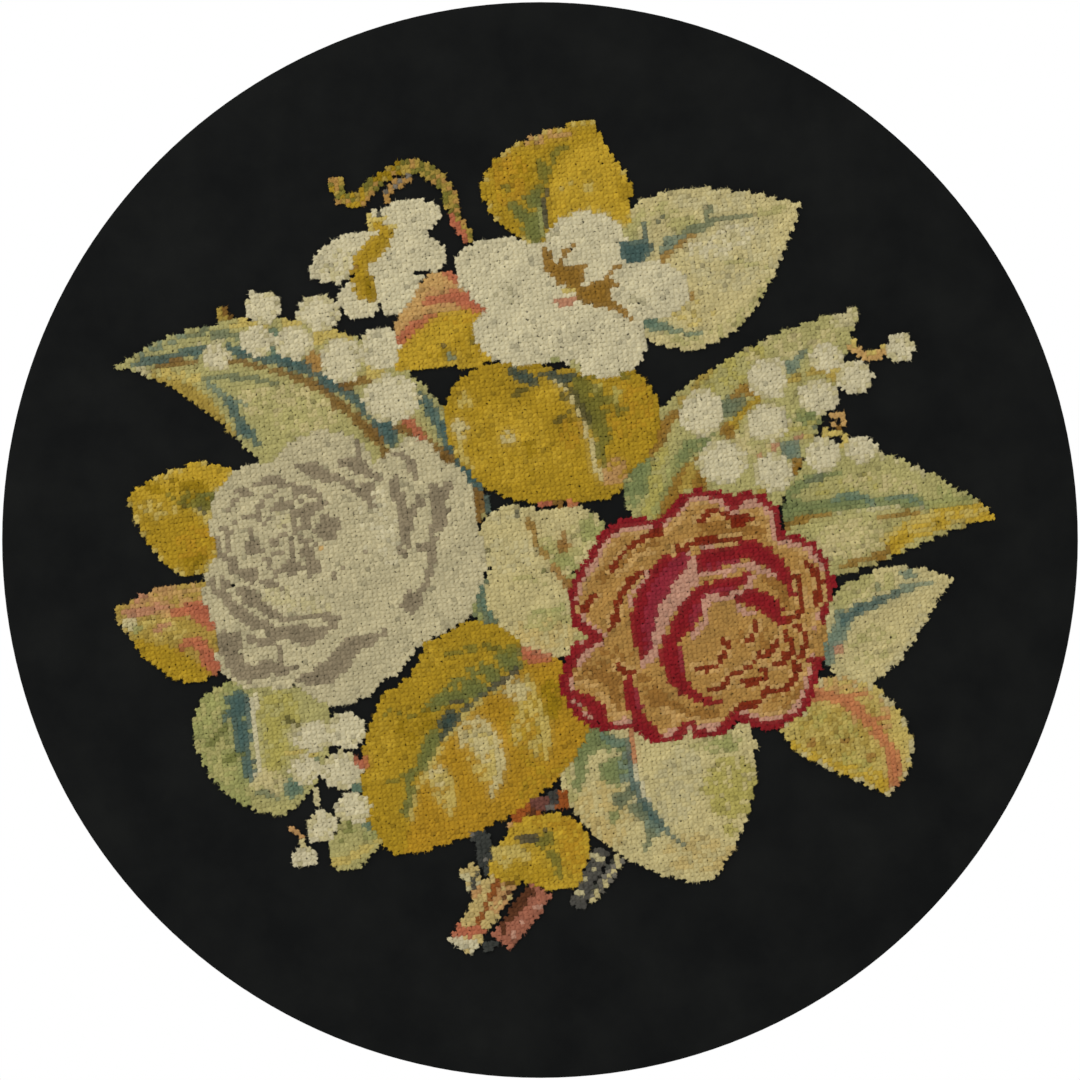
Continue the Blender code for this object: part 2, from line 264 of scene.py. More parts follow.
# %% The red rose
DRAWINGS["rose_red"] = Motif("tan", [
    Rim("tan_light", 6.5, 0.75),
    # Darker middles of the petals
    *in_shade("tan_deep", [
        [(24, -15, 3), (30, -9, 5), (37, -4, 5), (45, -1, 3)],
        [(14, -52, 5), (22, -50, 8), (29, -56, 7), (30, -64, 5)],
        [(40, -54, 4), (46, -62, 7), (55, -67, 7), (68, -68, 4)],
    ], 0.8),
    Line("tan_deep", [(62, 4, 4), (72, 4.5, 5), (86, 3, 4)], 0.7),
    Line("tan_deep", [(24, -43, 3), (30, -44, 5), (35, -46, 3)], 0.7),
    Line("tan_light", [(48, -66, 3), (56, -70, 4), (66, -71.4, 3)], 0.8),
    Line("tan_light", [(15, -55, 2.4), (22, -58.6, 3), (29, -66, 2.4)], 0.8),
    Line("tan_light", [(31, -14, 2), (37, -7, 2.6), (46, -3.6, 2)], 0.7),
    Line("tan_deep", [(88, -15, 3), (94, -19, 5), (96, -26, 4)], 0.9),
    Patch("tan_deep", 98, -60, 8, 4, 25, 0.7),
    Patch("tan_deep", 84, -38, 8, 5, 0, 0.6),
    # The outer edge: a line of pink inside a line of crimson, open at the right
    Rim("pink", 4.4),
    Rim("crimson", 2.7),
    Patch("tan", 110, -38.5, 5, 6.5),
    # Crimson hollows, each with a wine shadow
    Line("crimson", [(57, -7.5, 5), (50, -11, 10), (43.5, -19.4, 9.5), (40.5, -29.2, 9),
        (39.6, -37.6, 7), (40.6, -47.4, 2.5)]),
    Line("wine", [(56, -9, 3), (50, -14, 5), (46.5, -20, 4.5), (44.5, -27, 3), (44, -33, 1.5)]),
    Line("crimson", [(61, -9.3, 5), (66.3, -8.3, 8.5), (72.8, -5.1, 8.5), (78.6, -3.8, 7),
        (84.5, -5.7, 6.2), (90.3, -9.3, 5.2), (94.9, -12.9, 4), (98.5, -18.1, 2.6),
        (101.1, -25.3, 1.6)]),
    Line("wine", [(64, -11.5, 3), (71, -9, 3.5), (78, -6.5, 3.5), (85, -7.5, 2.5), (92, -11.5, 2),
        (96, -15.5, 1.5)], 0.85),
    Line("crimson", [(81.6, -11.9, 2.5), (78, -16.1, 5), (71.5, -18.7, 6), (64.3, -20.7, 7.5),
        (59.1, -27.2, 8), (55.8, -32.4, 8.5), (52.6, -37.6, 6), (49.3, -40.2, 2)]),
    Line("wine", [(74, -18.8, 2), (66, -21.5, 2.5), (61.5, -26.5, 3.5), (59, -33, 3)], 0.9),
    Line("crimson", [(49.3, -40.5, 5.5), (50.6, -45.4, 8), (52.6, -51.3, 7), (55.8, -57.2, 5.5),
        (61, -61.1, 4), (67.6, -63.3, 2.4), (72.8, -63.7, 1.4)]),
    Line("wine", [(54.5, -43.5, 2.5), (55.2, -50, 2)]),
    Line("crimson", [(77.6, -23.6, 1.5), (82.5, -23.6, 5), (87.1, -26.2, 5), (91.6, -30.1, 3.5),
        (93.9, -32.1, 2)]),
    # Pink turned edges
    Line("pink", [(56.5, -4.5, 1.6), (60.3, -9.5, 1.8), (59.5, -15, 5), (53.2, -19.4, 6.5),
        (49.3, -25.3, 5), (46.7, -32.4, 3.2), (46.2, -37.6, 2.6), (44.1, -43, 2.6), (40.4, -48.5, 2)]),
    Line("tan_light", [(58, -16, 2), (53, -20, 3.4), (49, -26, 2.8), (47, -31, 1)], 0.7),
    *in_shade("pink", [
        [(62, -13.8, 1.6), (66.5, -13.3, 1.6), (72.8, -12.9, 2.2), (76, -10.8, 2.6), (80, -9, 2)],
        [(81.5, -9.5, 2), (84, -11.3, 3), (89.7, -12.8, 2.2), (94.3, -14.5, 1.4)],
        [(83, -14, 2), (80.6, -18.7, 3), (76.7, -21, 3), (72.1, -22.6, 2.4), (66.3, -22.8, 2.6),
         (64.3, -26, 3), (64.2, -30.5, 2.4), (62.3, -34.5, 2), (58.8, -38, 1.6)],
        [(76.7, -25.3, 2), (79.9, -27.9, 2.2), (83.8, -29.2, 1.6)],
        [(63, -2.5, 1.4), (68.9, -1.8, 1.4), (73.4, -0.8, 1.2)],
        [(41.5, -12.9, 2), (38.9, -16.1, 1.8), (35.7, -22, 1.6), (35, -26.6, 1.4)],
    ]),
    # Folds of the outer petals
    Line("rust", [(48, 3.4, 2.1), (43.5, 2.4, 2.1), (40.5, 0.8, 2.1), (36.3, -1.8, 1.9),
        (32.7, -5.1, 1.9), (30.1, -8.3, 2.1), (28.2, -11.6, 1.7)], 0.85),
    *in_shade("rust", [
        [(39.6, -12.6, 2.1), (35.7, -16.1, 2.8), (32.4, -19.4, 2.5), (30.4, -23.9, 2.1),
         (29.5, -29.2, 2.8), (27.8, -34.4, 1.5)],
        [(21.3, -22.6, 2.1), (18.1, -24.6, 3.2), (16.8, -27.9, 2.5), (17.4, -32.4, 2.5),
         (19.4, -35.7, 2.6)],
        (22.3, -21.3, 1.2, 1),
        [(30.4, -49.3, 2.1), (33, -51.3, 1.9), (36.3, -51.3, 1.7)],
    ]),
    Line("crimson", [(34.4, -53.9, 2), (34.4, -59.8, 4.5), (37, -66.3, 4.5), (41, -71.5, 4),
        (46, -76, 3)]),
    Line("wine", [(36.5, -58, 1.6), (39.5, -66, 2)]),
    Line("crimson", [(12, -60, 4), (17, -62.5, 4.5), (21.5, -65.5, 6), (25, -71, 5), (31, -75, 3.4),
        (35, -75.5, 2.4)]),
    *in_shade("rust", [
        [(64.3, 10.2, 1.7), (68, 11, 1.9), (72.1, 10.6, 1.5)],
        [(61, 8, 1.9), (64.5, 8.3, 1.9)],
        [(73.4, 9.6, 1.9), (79.9, 9.9, 1.9)],
        [(75.4, 6.3, 2.4), (79.3, 7.3, 2.8), (83.2, 8.6, 1.7)],
        (85.3, 7.3, 1.2, 1.2),
    ]),
    Line("rust", [(53, -3.5, 1.7), (57, -2.8, 1.9), (59.8, -0.8, 1.5), (66.3, 0.1, 1.5),
        (73.4, 0.5, 1.5), (77.3, -0.2, 1.5)], 0.9),
    Line("rust", [(103.4, -9.3, 1.7), (106.6, -12.2, 3.2), (108.6, -16.1, 3.7), (108.6, -20.7, 3.7),
        (107.6, -24.6, 4.3)]),
    Line("rust", [(99.5, -14.2, 1.7), (101.4, -19.4, 1.9), (101.7, -25.9, 1.9), (100.1, -29.2, 2.5),
        (97.5, -29.8, 1.9)]),
    Line("crimson", [(104.7, -46.1, 2), (107.9, -48.7, 5), (110.5, -51.3, 2)]),
])

red_rose = DRAWINGS["rose_red"].marks

# The small turned petals in its heart
HEART_TURNS = in_shade("rust", [
    [(71.8, -38.9, 1.7), (72.8, -42.2, 2.1), (71.5, -45.4, 1.7), (68.9, -48.7, 2.1),
     (65, -50.6, 2.1), (61, -49.7, 1.7)],
    [(73.4, -55.5, 3), (70.8, -57.8, 2.1), (66.3, -59.1, 1.7)],
    [(84.8, -32.4, 2.4), (83.2, -36.3, 2.1), (81.2, -39.6, 1.7)],
    [(84.5, -44.1, 1.7), (87.7, -45.1, 1.9), (91, -42.2, 1.9), (92.5, -39.5, 1.7)],
    [(94.9, -36.3, 2.1), (97.5, -39.6, 2.1), (97.5, -44.1, 2.1), (94.9, -45.4, 1.7)],
    [(97.8, -32.4, 2.1), (101.4, -34.4, 2.5), (103.4, -38.9, 2.5), (102.7, -44.1, 2.4),
     (100.8, -45.4, 1.7)],
    [(74.7, -51.6, 1.7), (78.6, -51, 1.9), (82.5, -48.7, 1.9), (84.5, -47.4, 1.7)],
    [(86.8, -50, 2.1), (87.4, -53.2, 2.4), (84.5, -55.5, 1.9), (79.3, -55.5, 1.7)],
    [(88.4, -57.2, 2.1), (87.7, -60.4, 2.4), (84.5, -64, 2.1), (80.6, -64.6, 1.9),
     (76.7, -65, 1.7)],
    [(99.8, -47.4, 1.9), (100.1, -51.9, 2.4), (96.9, -57.2, 2.1), (91.6, -58.8, 1.7)],
    [(91, -48, 1.7), (94.9, -48, 1.7)],
])
# Wider shadows and lights over the first ones
red_rose.extend([
    Line("wine", [(56, -7, 4), (50, -14, 7), (45.5, -22, 7), (42.8, -33, 5), (43, -44, 3)]),
    Line("crimson", [(63, -7.5, 5), (76, -3.5, 8), (87, -6, 8), (95, -13, 6), (100, -22, 3)]),
    Line("crimson", [(77, -23.5, 3), (84, -22.5, 7), (91, -27, 7), (94, -32, 3)]),
    Line("pink", [(59.4, -6.5, 2.4), (58.5, -13, 4.4), (54.5, -20, 7), (49.6, -27, 6.6), (46.2, -36, 4),
        (44, -46, 2.6)]),
])


def widened(line, least=0, extra=0):
    """The points of a line with at least this width and this much more."""
    return [(x, y, max(width, least) + extra) for x, y, width in line.points]


# Every fold is worked again as a rust line that is wide enough to show, over a light edge
THINNEST_FOLD = 2.1
FOLD_EDGE = 2.4
FOLD_EDGE_SHARE = 0.85
folds = [mark._replace(points=widened(mark, least=THINNEST_FOLD), share=1)
         for mark in red_rose + HEART_TURNS
         if isinstance(mark, Line) and mark.shade == "rust"]
red_rose.extend([fold._replace(shade="tan_light", points=widened(fold, extra=FOLD_EDGE),
                               share=FOLD_EDGE_SHARE) for fold in folds])
red_rose.extend(folds)
# Notches between its outer petals, where the leaves or the cloth show
red_rose.extend([
    Line("pink", [(66, 15.8, 2), (71.5, 13.6, 2), (75.4, 10, 2), (79, 13.6, 2), (85, 14.4, 2)]),
    Line("crimson", [(66, 18.6, 3), (72, 16.2, 3), (75.4, 12.6, 2.6), (78.6, 16.4, 3), (84, 18, 3)]),
    Line("pale_green", [(75.4, 21, 4), (75.4, 17.6, 1.8)]),
    Line("pink", [(16, -29.4, 2), (19.6, -33.4, 2), (25.4, -36.6, 1.8)]),
    Line("pink", [(25, -40, 1.8), (18.4, -44, 2), (14.6, -49.6, 2)]),
    Line("crimson", [(12.6, -27, 3), (14.6, -32, 3), (18.4, -35.4, 2.8), (24.4, -38, 2.4)]),
    Line("crimson", [(23.6, -38.6, 2.4), (17.4, -41.4, 2.8), (13, -46, 3), (11, -52, 3)]),
    Line("pale_green", [(8, -37, 6), (13, -37.4, 3.8), (18, -38, 1.8)]),
    Line("crimson", [(54, -75.4, 2.8), (58, -71.8, 2.4), (62, -74.6, 2.8)]),
    Line("cream_yellow", [(58, -79, 4), (58, -74.6, 1.8)]),
    Line("crimson", [(72.6, -71.4, 2.8), (76.4, -67.8, 2.4), (80.4, -71.4, 2.8)]),
    Line(BARE, [(76.8, -76, 5), (76.4, -71, 1.8)]),
])
print(len(red_rose), "marks in the red rose")

# %% The white rose
DRAWINGS["rose_white"] = Motif("rose_cream", [
    # Shadows under the upper petals
    *in_shade("rose_grey", [
        [(-93, 28.6, 3.4), (-87.9, 27.2, 6.6), (-82.4, 25.6, 2.9)],
        [(-85.2, 24.4, 2.2), (-83.8, 22.4, 1.7)],
        [(-78.1, 29.7, 1.9), (-73, 30, 6.2), (-69.1, 27.7, 5.7), (-62.9, 23.8, 2.3)],
    ]),
    Line("rose_grey", [(-71.5, 38.3, 1.9), (-71.1, 31.3, 1.9)], 0.7),
    *in_shade("rose_grey", [
        [(-82, 24, 2.3), (-77, 23.5, 3.4), (-72.5, 20.5, 2.5), (-69, 17.5, 2.3)],
        (-66.8, 18.8, 3.7, 3.7), (-65.6, 13.7, 1.5, 2),
        [(-111, 21.4, 1.6), (-105.5, 23.2, 3), (-101, 22.4, 3.6), (-96.4, 21.2, 2.2)],
        [(-97, 19, 1.7), (-94.8, 17.2, 1.7)],
        [(-95, 20, 2), (-90.4, 19, 4.4), (-86.8, 17.6, 3.6)],
    ]),
    # Turned petals on the left of the heart
    *in_shade("rose_grey", [
        (-115, 18.3, 3.2, 1.5, -5),
        [(-121.5, 10.8, 1.7), (-120.3, 13.6, 2), (-118.3, 15.8, 1.7)],
        (-118.8, 6.5, 1.8, 1.1),
        [(-117, 9.6, 1.6), (-113, 8.6, 1.6), (-110, 8.4, 1.7), (-107.8, 6.6, 1.6)],
        [(-109.6, 9, 1.9), (-109.5, 12.5, 2.3), (-107.6, 16, 1.9), (-103, 18.8, 1.8)],
        [(-124.8, 4.6, 1.9), (-121.6, 4, 2.6), (-119.6, 2.2, 1.9)],
        [(-125.2, 1.5, 1.7), (-125.4, -3, 2.3), (-123.5, -6.5, 3), (-119, -8.6, 2.6)],
        [(-121.8, 1.2, 2.2), (-121, -3.8, 2.2)],
        (-119.6, -11, 1.8, 3),
        [(-111.8, 5.2, 1.8), (-112.8, 1.2, 2.1), (-112.2, -1.5, 3.4)],
        (-111.2, -3.2, 3.3, 2.7),
        [(-107, -7.2, 1.8), (-103.5, -6, 1.8), (-100.5, -5.4, 1.8)],
    ]),
    # Turned petals in its middle
    Line("rose_grey", [(-104.3, 11.8, 2.4), (-100.2, 13.8, 4.8), (-96.4, 12.6, 3.6), (-95.5, 8.8, 2.1),
        (-95.9, 6, 1.8)]),
    Patch("rose_grey", -106, 8.8, 1.2, 1),
    Line("rose_grey", [(-103, 4.2, 1.8), (-99, 4.8, 1.6), (-94.6, 4.4, 1.8)], 0.8),
    *in_shade("rose_grey", [
        (-103.8, -0.8, 2.6, 2.2),
        [(-101.8, 2.6, 1.6), (-98.2, 1.4, 1.6)],
        [(-97.3, 0.5, 2), (-96.9, -3, 2.2), (-95.8, -6.5, 2.2)],
        [(-95, 2.2, 2), (-92.6, -0.2, 2.2), (-87.4, -1, 2)],
        (-90.8, -4.2, 2.6, 2.2),
        [(-105, -10, 2), (-103.4, -13.4, 2)],
    ]),
    Line("rose_grey", [(-102.5, -12, 1.6), (-99.5, -15, 1.6)], 0.6),
    *in_shade("rose_grey", [(-97, -10.8, 3.5, 3.7), (-88.6, -10.4, 3.7, 3.7)]),
    Patch("tan_light", -86, -3.2, 2.2, 2.4, 0, 0.3),
    # Turned petals on its right
    *in_shade("rose_grey", [
        [(-93.6, 15, 2), (-90.5, 13.8, 1.8)],
        (-87, 13.2, 4.2, 2),
        [(-90.8, 10.6, 3.6), (-91, 6.5, 4.6), (-89.6, 3.6, 3)],
        (-82.8, 4.8, 4.6, 4.9, -20),
    ]),
    Line("rose_cream", [(-86.6, 9.4, 1.8), (-87, 7, 1.8), (-90.6, 2.6, 1.8)]),
    # Shadows of the lower petals
    Patch("rose_grey", -113, -13.6, 4.2, 3.2, -25),
    Line("rose_grey", [(-109, -16, 3), (-104.6, -17.4, 2.4), (-101, -18.4, 1.9)]),
    Patch("rose_grey", -128, -17, 1.8, 2.6, 0, 0.7),
    *in_shade("rose_grey", [
        (-122.8, -17, 2.4, 2.6),
        [(-126, -20.5, 3), (-121.8, -23.4, 5), (-118, -27.6, 5.6), (-113, -31.4, 5.8),
         (-108.4, -33.4, 4.6), (-104.6, -33.4, 2)],
        [(-117.2, -19, 3.6), (-113.6, -22, 5.8), (-108.6, -25.6, 5.4), (-104.6, -29.2, 3),
         (-97, -30.8, 1.9), (-89, -30.4, 1.9), (-81, -29.8, 2.1)],
        [(-104.6, -35.4, 3.4), (-98, -36.2, 5.2), (-91.6, -37, 7.2), (-86.4, -36.4, 6.2),
         (-82, -33.8, 3.4), (-78.6, -31, 2)],
        [(-113, -38.4, 3), (-108, -39.8, 4.8), (-102.6, -38.2, 4.6)],
        (-121, -40.8, 5, 5.6),
        [(-120.6, -45, 6), (-117, -50, 7.4), (-112, -52.2, 5.4), (-107.4, -50, 5.4), (-102.6, -50, 5),
         (-98.6, -50.6, 3), (-95.6, -50, 1.8)],
        [(-101.6, -41, 1.9), (-101.6, -47.4, 2.2)],
    ]),
    Line("rose_grey", [(-89, -40.5, 2.4), (-88, -43.5, 2)], 0.6),
    Line("rose_grey", [(-93, -54, 3.4), (-87.4, -54, 6.4), (-81.4, -50.4, 8.4), (-76.4, -45.4, 9),
        (-72.6, -41, 6.8), (-65, -38.5, 4.5), (-59.8, -35.5, 2.3)]),
    # A light edge between two of the shadows
    Line("rose_cream", [(-120.6, -20, 1.8), (-117, -24.2, 1.8), (-110.6, -28.4, 1.8),
        (-105, -31.4, 1.8), (-96, -33, 1.8), (-85, -31.8, 1.8)]),
    # Folds of the right-hand petals
    *in_shade("rose_grey", [
        [(-56.6, 33.6, 1.9), (-52, 32, 3.4), (-49.6, 28.1, 3.9), (-48.8, 25, 2.9)],
        [(-56.6, 23.4, 3.4), (-55.8, 18.8, 4.5), (-53.5, 13.3, 4.5), (-52.3, 7, 5.1), (-52.3, 2.3, 3.4),
         (-52, -2.3, 2)],
        [(-47.3, 14.8, 3.9), (-49.6, 11.7, 3.9), (-51.2, 8.6, 3.4)],
        [(-54.5, -4, 2.3), (-53, -5.5, 2.3)],
        [(-41.8, 21.1, 3.4), (-39.4, 14.8, 5.7), (-38.7, 10.2, 6.2), (-40.2, 5.5, 6.2),
         (-41.8, 3.1, 3.4)],
        [(-35.6, 21.9, 3.4), (-37.1, 17.2, 3.9)],
        [(-48, -3.1, 2.3), (-43.4, -3.5, 2.9), (-41.8, -7, 2.7), (-43, -13.3, 2.7), (-44.9, -18, 2.7),
         (-47.3, -20.3, 3.4)],
        (-50.3, -24.2, 4, 4.4),
        [(-41.5, 0, 3.4), (-42.5, -4, 2.3)],
        (-67.6, -3.9, 1.1, 1.1), (-77.4, -10.5, 1.1, 1.1), (-79.7, -13.7, 1.4, 1.1),
    ]),
    *in_shade("cream", [(-95, -23, 14, 5, -10), (-101, 8, 4, 3.4)], 0.4),
    Patch("ivory", -62, 4, 8, 16, 15, 0.25),
    # Cloth that shows between the rose and the leaf below it
    Side(BARE, [(-20, -24), (-30, -31.5), (-38, -36.5), (-47, -41), (-51, -46.5), (-54.5, -51),
        (-61, -54.5), (-66.5, -60), (-71, -66), (-76, -72)]),
    Patch(BARE, -107, -57.6, 1, 1),
    Line(BARE, [(-96.2, -57.4, 1.8), (-95.6, -60.6, 1.8)]),
    Patch(BARE, -120.6, -18, 1, 0.8),
])
print(len(DRAWINGS["rose_white"].marks), "marks in the white rose")

# %% The flowers and leaves above
DRAWINGS["leaf_top"] = Motif("gold", [
    Patch("gold_orange", -12, 141, 7, 11, 0, 0.55),
    Patch("gold_deep", -6, 140, 3, 7, 0, 0.4),
    Side("gold_bright", [(24, 157), (12, 152), (6.5, 145), (4, 136), (5, 122)]),
    Patch("gold", 33, 140, 3.5, 8, 0, 0.6),
    Patch("straw", 14, 137, 7, 2.5, 0, 0.4),
    Line("peach", [(-9, 153.5, 2.5), (-3, 156, 3.5), (4, 157.5, 3.5), (11, 158.5, 2)], 0.8),
    *in_shade("olive", [
        [(10, 153.5, 2), (6.3, 151.5, 3), (3.7, 146.5, 4), (1.1, 141.9, 4), (0.5, 137, 3)],
        [(-0.5, 147, 2.6), (0, 142, 2.6)],
    ], 0.9),
    Line("olive", [(-13.5, 137.5, 2.2), (-12.5, 131.5, 2.2)], 0.8),
    Line("olive_green", [(-12.5, 131, 3), (-7, 127, 5), (-3, 123, 8), (-2, 117, 7)]),
    Patch("olive_green", -2.5, 133, 4, 3.5, 0, 0.85),
    Line("light_green", [(-0.5, 130, 2.6), (0, 125, 2.6), (1, 120, 4)], 0.7),
    Line("charcoal", [(3, 136.5, 2), (1.6, 131.5, 2), (2.4, 125.6, 2.2), (3.2, 122.5, 2)]),
    Rim("straw", 1.2, 0.35),
    Side(BARE, [(22, 172), (23.2, 157.5), (29, 149), (35, 141)]),
])

DRAWINGS["leaf_upper_right"] = Motif("cream_yellow", [
    Patch("pale_green", 45, 127, 9, 4, 20, 0.55),
    *in_shade("pale_green", [(55, 123, 6, 3, 10), (34.5, 119.5, 4, 4)], 0.9),
    *in_shade("cream", [(70, 132, 16, 4), (76, 112, 20, 14, 20)], 0.5),
    Patch("ivory", 70, 116, 14, 6, 20, 0.35),
    Line("pale_green", [(78, 128, 3), (88, 128.5, 3), (96, 129, 2)], 0.5),
    Line("pale_green", [(72, 107.5, 1.6), (80, 108, 2), (88, 106, 1.6)], 0.5),
    Line("pale_green", [(50, 79, 4), (62, 79, 5), (75, 84, 5), (84, 92, 4), (90, 101, 3)], 0.6),
    Patch("straw", 60, 88, 9, 5, 0, 0.35),
    *in_shade("teal", [(37.5, 113, 7.2, 4.4, 8), [(40.5, 123, 1.8), (41, 119, 3.4), (41.5, 114, 4.4)]]),
    Line("grey_teal", [(47.5, 111.5, 3), (50, 115.5, 5), (55, 118.3, 3)]),
    Line("brown_gold", [(47.3, 108.5, 2.4), (51.5, 113, 2), (56, 116.5, 2), (59.5, 119.5, 2)]),
    Line("green_grey", [(57.5, 120.8, 3), (62.5, 122, 3.4), (66, 123.5, 3), (71, 125, 2.4),
        (77, 125.2, 1.8), (82, 126, 1.6)]),
    Line("green_grey", [(66.5, 129.5, 1.6), (65, 126, 2), (66, 123.5, 2)]),
    *in_shade("dark_teal", [(47.3, 126.3, 1, 1), (45.4, 123.5, 1, 1.8)]),
    Patch("brown_gold", 53.5, 94.5, 2.6, 2.3),
    Line("brown_gold", [(55, 95.5, 2), (58, 96, 1.8), (60, 94.5, 1.6)], 0.85),
    Line("teal_light", [(38.5, 84.5, 3.4), (43, 86, 4), (47.5, 88, 3)]),
    Line("teal_light", [(43, 84, 4), (49, 83, 3.2), (54, 81, 2), (62, 80.5, 1.6)]),
    Patch("dark_teal", 38, 84, 1.3, 1.3),
])

DRAWINGS["flower_white"] = Motif("ivory", [
    Patch("ivory_shade", 1, 118, 6, 2.5, 10, 0.4),
    *in_shade("ivory_shade", [(-13, 96, 5, 3, -20), (35, 92, 6, 5)], 0.3),
    # Stamens in three tufts
    *in_shade("brown_gold", [
        [(2.5, 112.5, 3), (3, 108.5, 5), (7, 104, 5)],
        (11.3, 102.8, 5.4, 4.2),
        [(13, 115.5, 2), (10, 111.5, 2.2), (7.5, 107.5, 2.2), (9, 105, 3)],
        (13, 115.3, 1.5, 1.2),
        [(13, 103.5, 4), (16, 105.5, 4), (18.3, 107.3, 2.2)],
        (20.5, 95.7, 7, 4.4),
        [(23, 98.5, 4), (25.5, 101.5, 2.6), (27.5, 105, 1.8), (31, 106, 1.8)],
        [(24, 99.2, 3.4), (30, 100, 1.8)],
        [(24, 94, 5), (29, 91.5, 4.4), (32, 89.5, 2.8), (35.5, 85.5, 1.6)],
    ]),
    Line("salmon", [(6, 93, 2.4), (10, 92.8, 2.6), (13.8, 93.8, 2)]),
    Line("straw", [(7, 97, 2), (14, 98, 1.8)], 0.6),
    Patch("light_green", 6.5, 68.8, 2.8, 2),
    Patch("pale_green", 13, 67.5, 3, 2, 0, 0.7),
    # The leaf behind, where it shows between two petals
    Patch("teal", 34.6, 112.6, 3.6, 4.4),
    Patch("pale_green", 35.5, 120.5, 2.5, 3.4),
])

DRAWINGS["flower_snowdrop"] = Motif("ivory", [
    Patch("cream", -76, 108, 10, 6, 30, 0.4),
    Patch("straw", -60, 122.5, 3.2, 2.2, 0, 0.6),
    Line("gold", [(-59.8, 119.5, 5), (-65.2, 113.3, 8), (-69.9, 107.8, 7), (-72.4, 105.2, 3)]),
    Line("brown_gold", [(-72, 108, 2.4), (-70, 105.5, 2.4)], 0.8),
    Patch("gold", -69, 99.5, 4, 6.6, 10),
    Line("gold_deep", [(-67.3, 101, 3), (-65.8, 97, 3), (-65.6, 92.5, 2.2)]),
    Patch("straw", -64, 124, 3.6, 3.6, 0, 0.8),
    Patch("gold", -63, 122.5, 1.7, 2),
    Line("charcoal", [(-62.4, 128, 1.3), (-61.4, 123.5, 1.3)]),
    Line(BARE, [(-83, 97.5, 3.4), (-77.5, 99.6, 2.4), (-73.5, 102.4, 1.4)]),
    Line(BARE, [(-42.5, 103, 3.4), (-48.5, 104.4, 1.7)]),
    Line(BARE, [(-61, 84, 3), (-62.4, 92, 1.7)]),
])

DRAWINGS["leaf_coral_upper"] = Motif("gold_bright", [
    Side("tan_light", [(-60, 71), (-51, 80.5), (-45, 85), (-38, 89), (-24, 90), (-14, 90)]),
    Patch("peach", -32, 97, 12, 7, 10, 0.45),
    Patch("gold", -28, 76, 6, 7, 0, 0.6),
    Patch("gold_deep", -38, 72, 5, 2.5, 10, 0.5),
    Patch("gold_orange", -31, 86, 8, 3, 0, 0.5),
    *in_shade("coral", [
        [(-56, 75.5, 3.4), (-51.5, 81, 4), (-46.5, 85, 4), (-40.5, 88.5, 1.8)],
        [(-46, 92.5, 2), (-41, 94, 2.4), (-36, 93.8, 3)],
        [(-34, 95, 5), (-28, 93, 7), (-22, 91.5, 6.5), (-14.5, 91.5, 2.4)],
        [(-36.5, 104.5, 3.4), (-33, 103, 5), (-28, 99.5, 2.4)],
    ]),
    Patch("charcoal", -36.7, 74.8, 1.1, 1.1),
    Patch("grey_teal", -34.8, 71.2, 1.8, 1.4),
    Patch("dark_olive", -25.8, 77.8, 1.2, 1.2),
])

DRAWINGS["leaf_central"] = Motif("gold", [
    Patch("gold_bright", -12, 38, 15, 16, 0, 0.5),
    Patch("gold_deep", -4, 33, 3, 8, 0, 0.35),
    Patch("gold_bright", 9, 33, 5, 6, 0, 0.55),
    Patch("gold_bright", 3, 56, 5, 4, 0, 0.5),
    *in_shade("gold_orange", [(12, 42, 5, 6), (36, 50, 9, 12)], 0.5),
    Patch("straw", -29.5, 54.5, 3.6, 3.6, 0, 0.6),
    Patch("cream_yellow", -31, 43.5, 3.2, 4.6, 0, 0.9),
    Line("straw", [(-32, 38, 3), (-30.5, 32, 3), (-26, 28, 2)], 0.8),
    Patch("cream_yellow", -12.5, 39.8, 2.6, 2.2, 0, 0.8),
    Patch("olive", 19, 57, 7.5, 5.5, -30, 0.9),
    Patch("lime", 26.5, 57.5, 6, 3.4, -25, 0.6),
    Patch("olive", 27, 53, 6, 3, -35, 0.8),
    Line("olive", [(12, 62.5, 3), (20, 63.5, 3), (28, 64.5, 3), (35, 64, 2.5)], 0.7),
    Line("olive", [(19, 52, 7), (22.5, 46, 8), (25, 41, 7), (24, 37, 4)], 0.95),
    Line("olive", [(23.8, 35, 3), (24.6, 29.5, 3)]),
    Line("olive", [(28, 50.3, 1.8), (35, 50.3, 1.8)], 0.8),
    Patch("peach", 29.5, 26.5, 5, 5, 20, 0.8),
    Line("cream_yellow", [(5, 61.5, 1.8), (9.5, 59.5, 2), (13.5, 54, 2.2), (16.5, 47.5, 2.2),
        (18.8, 40.5, 2), (20.5, 34, 2), (22.5, 27, 2), (24.5, 24, 1.8)]),
    Line("dark_teal", [(-10.5, 65.5, 3.4), (-6.5, 63.8, 4), (-2.5, 61.8, 5)]),
    Line("dark_teal", [(0.5, 63.8, 2), (4, 64.5, 3), (8.5, 63, 3.6), (14, 64.2, 2)]),
    *in_shade("dark_olive", [
        [(-11, 55.5, 2), (-8.5, 57.5, 1.8), (-5.5, 59, 1.8)],
        (8.2, 56.2, 1, 1), (10.2, 54.6, 1, 1),
        [(5.5, 45, 1.8), (8.5, 48, 2), (11.5, 50, 1.8)],
        [(9, 61, 1.8), (12, 58.8, 2.2), (14.5, 54.5, 2.6), (17.2, 50, 2.8), (19.5, 45.5, 2)],
    ]),
])

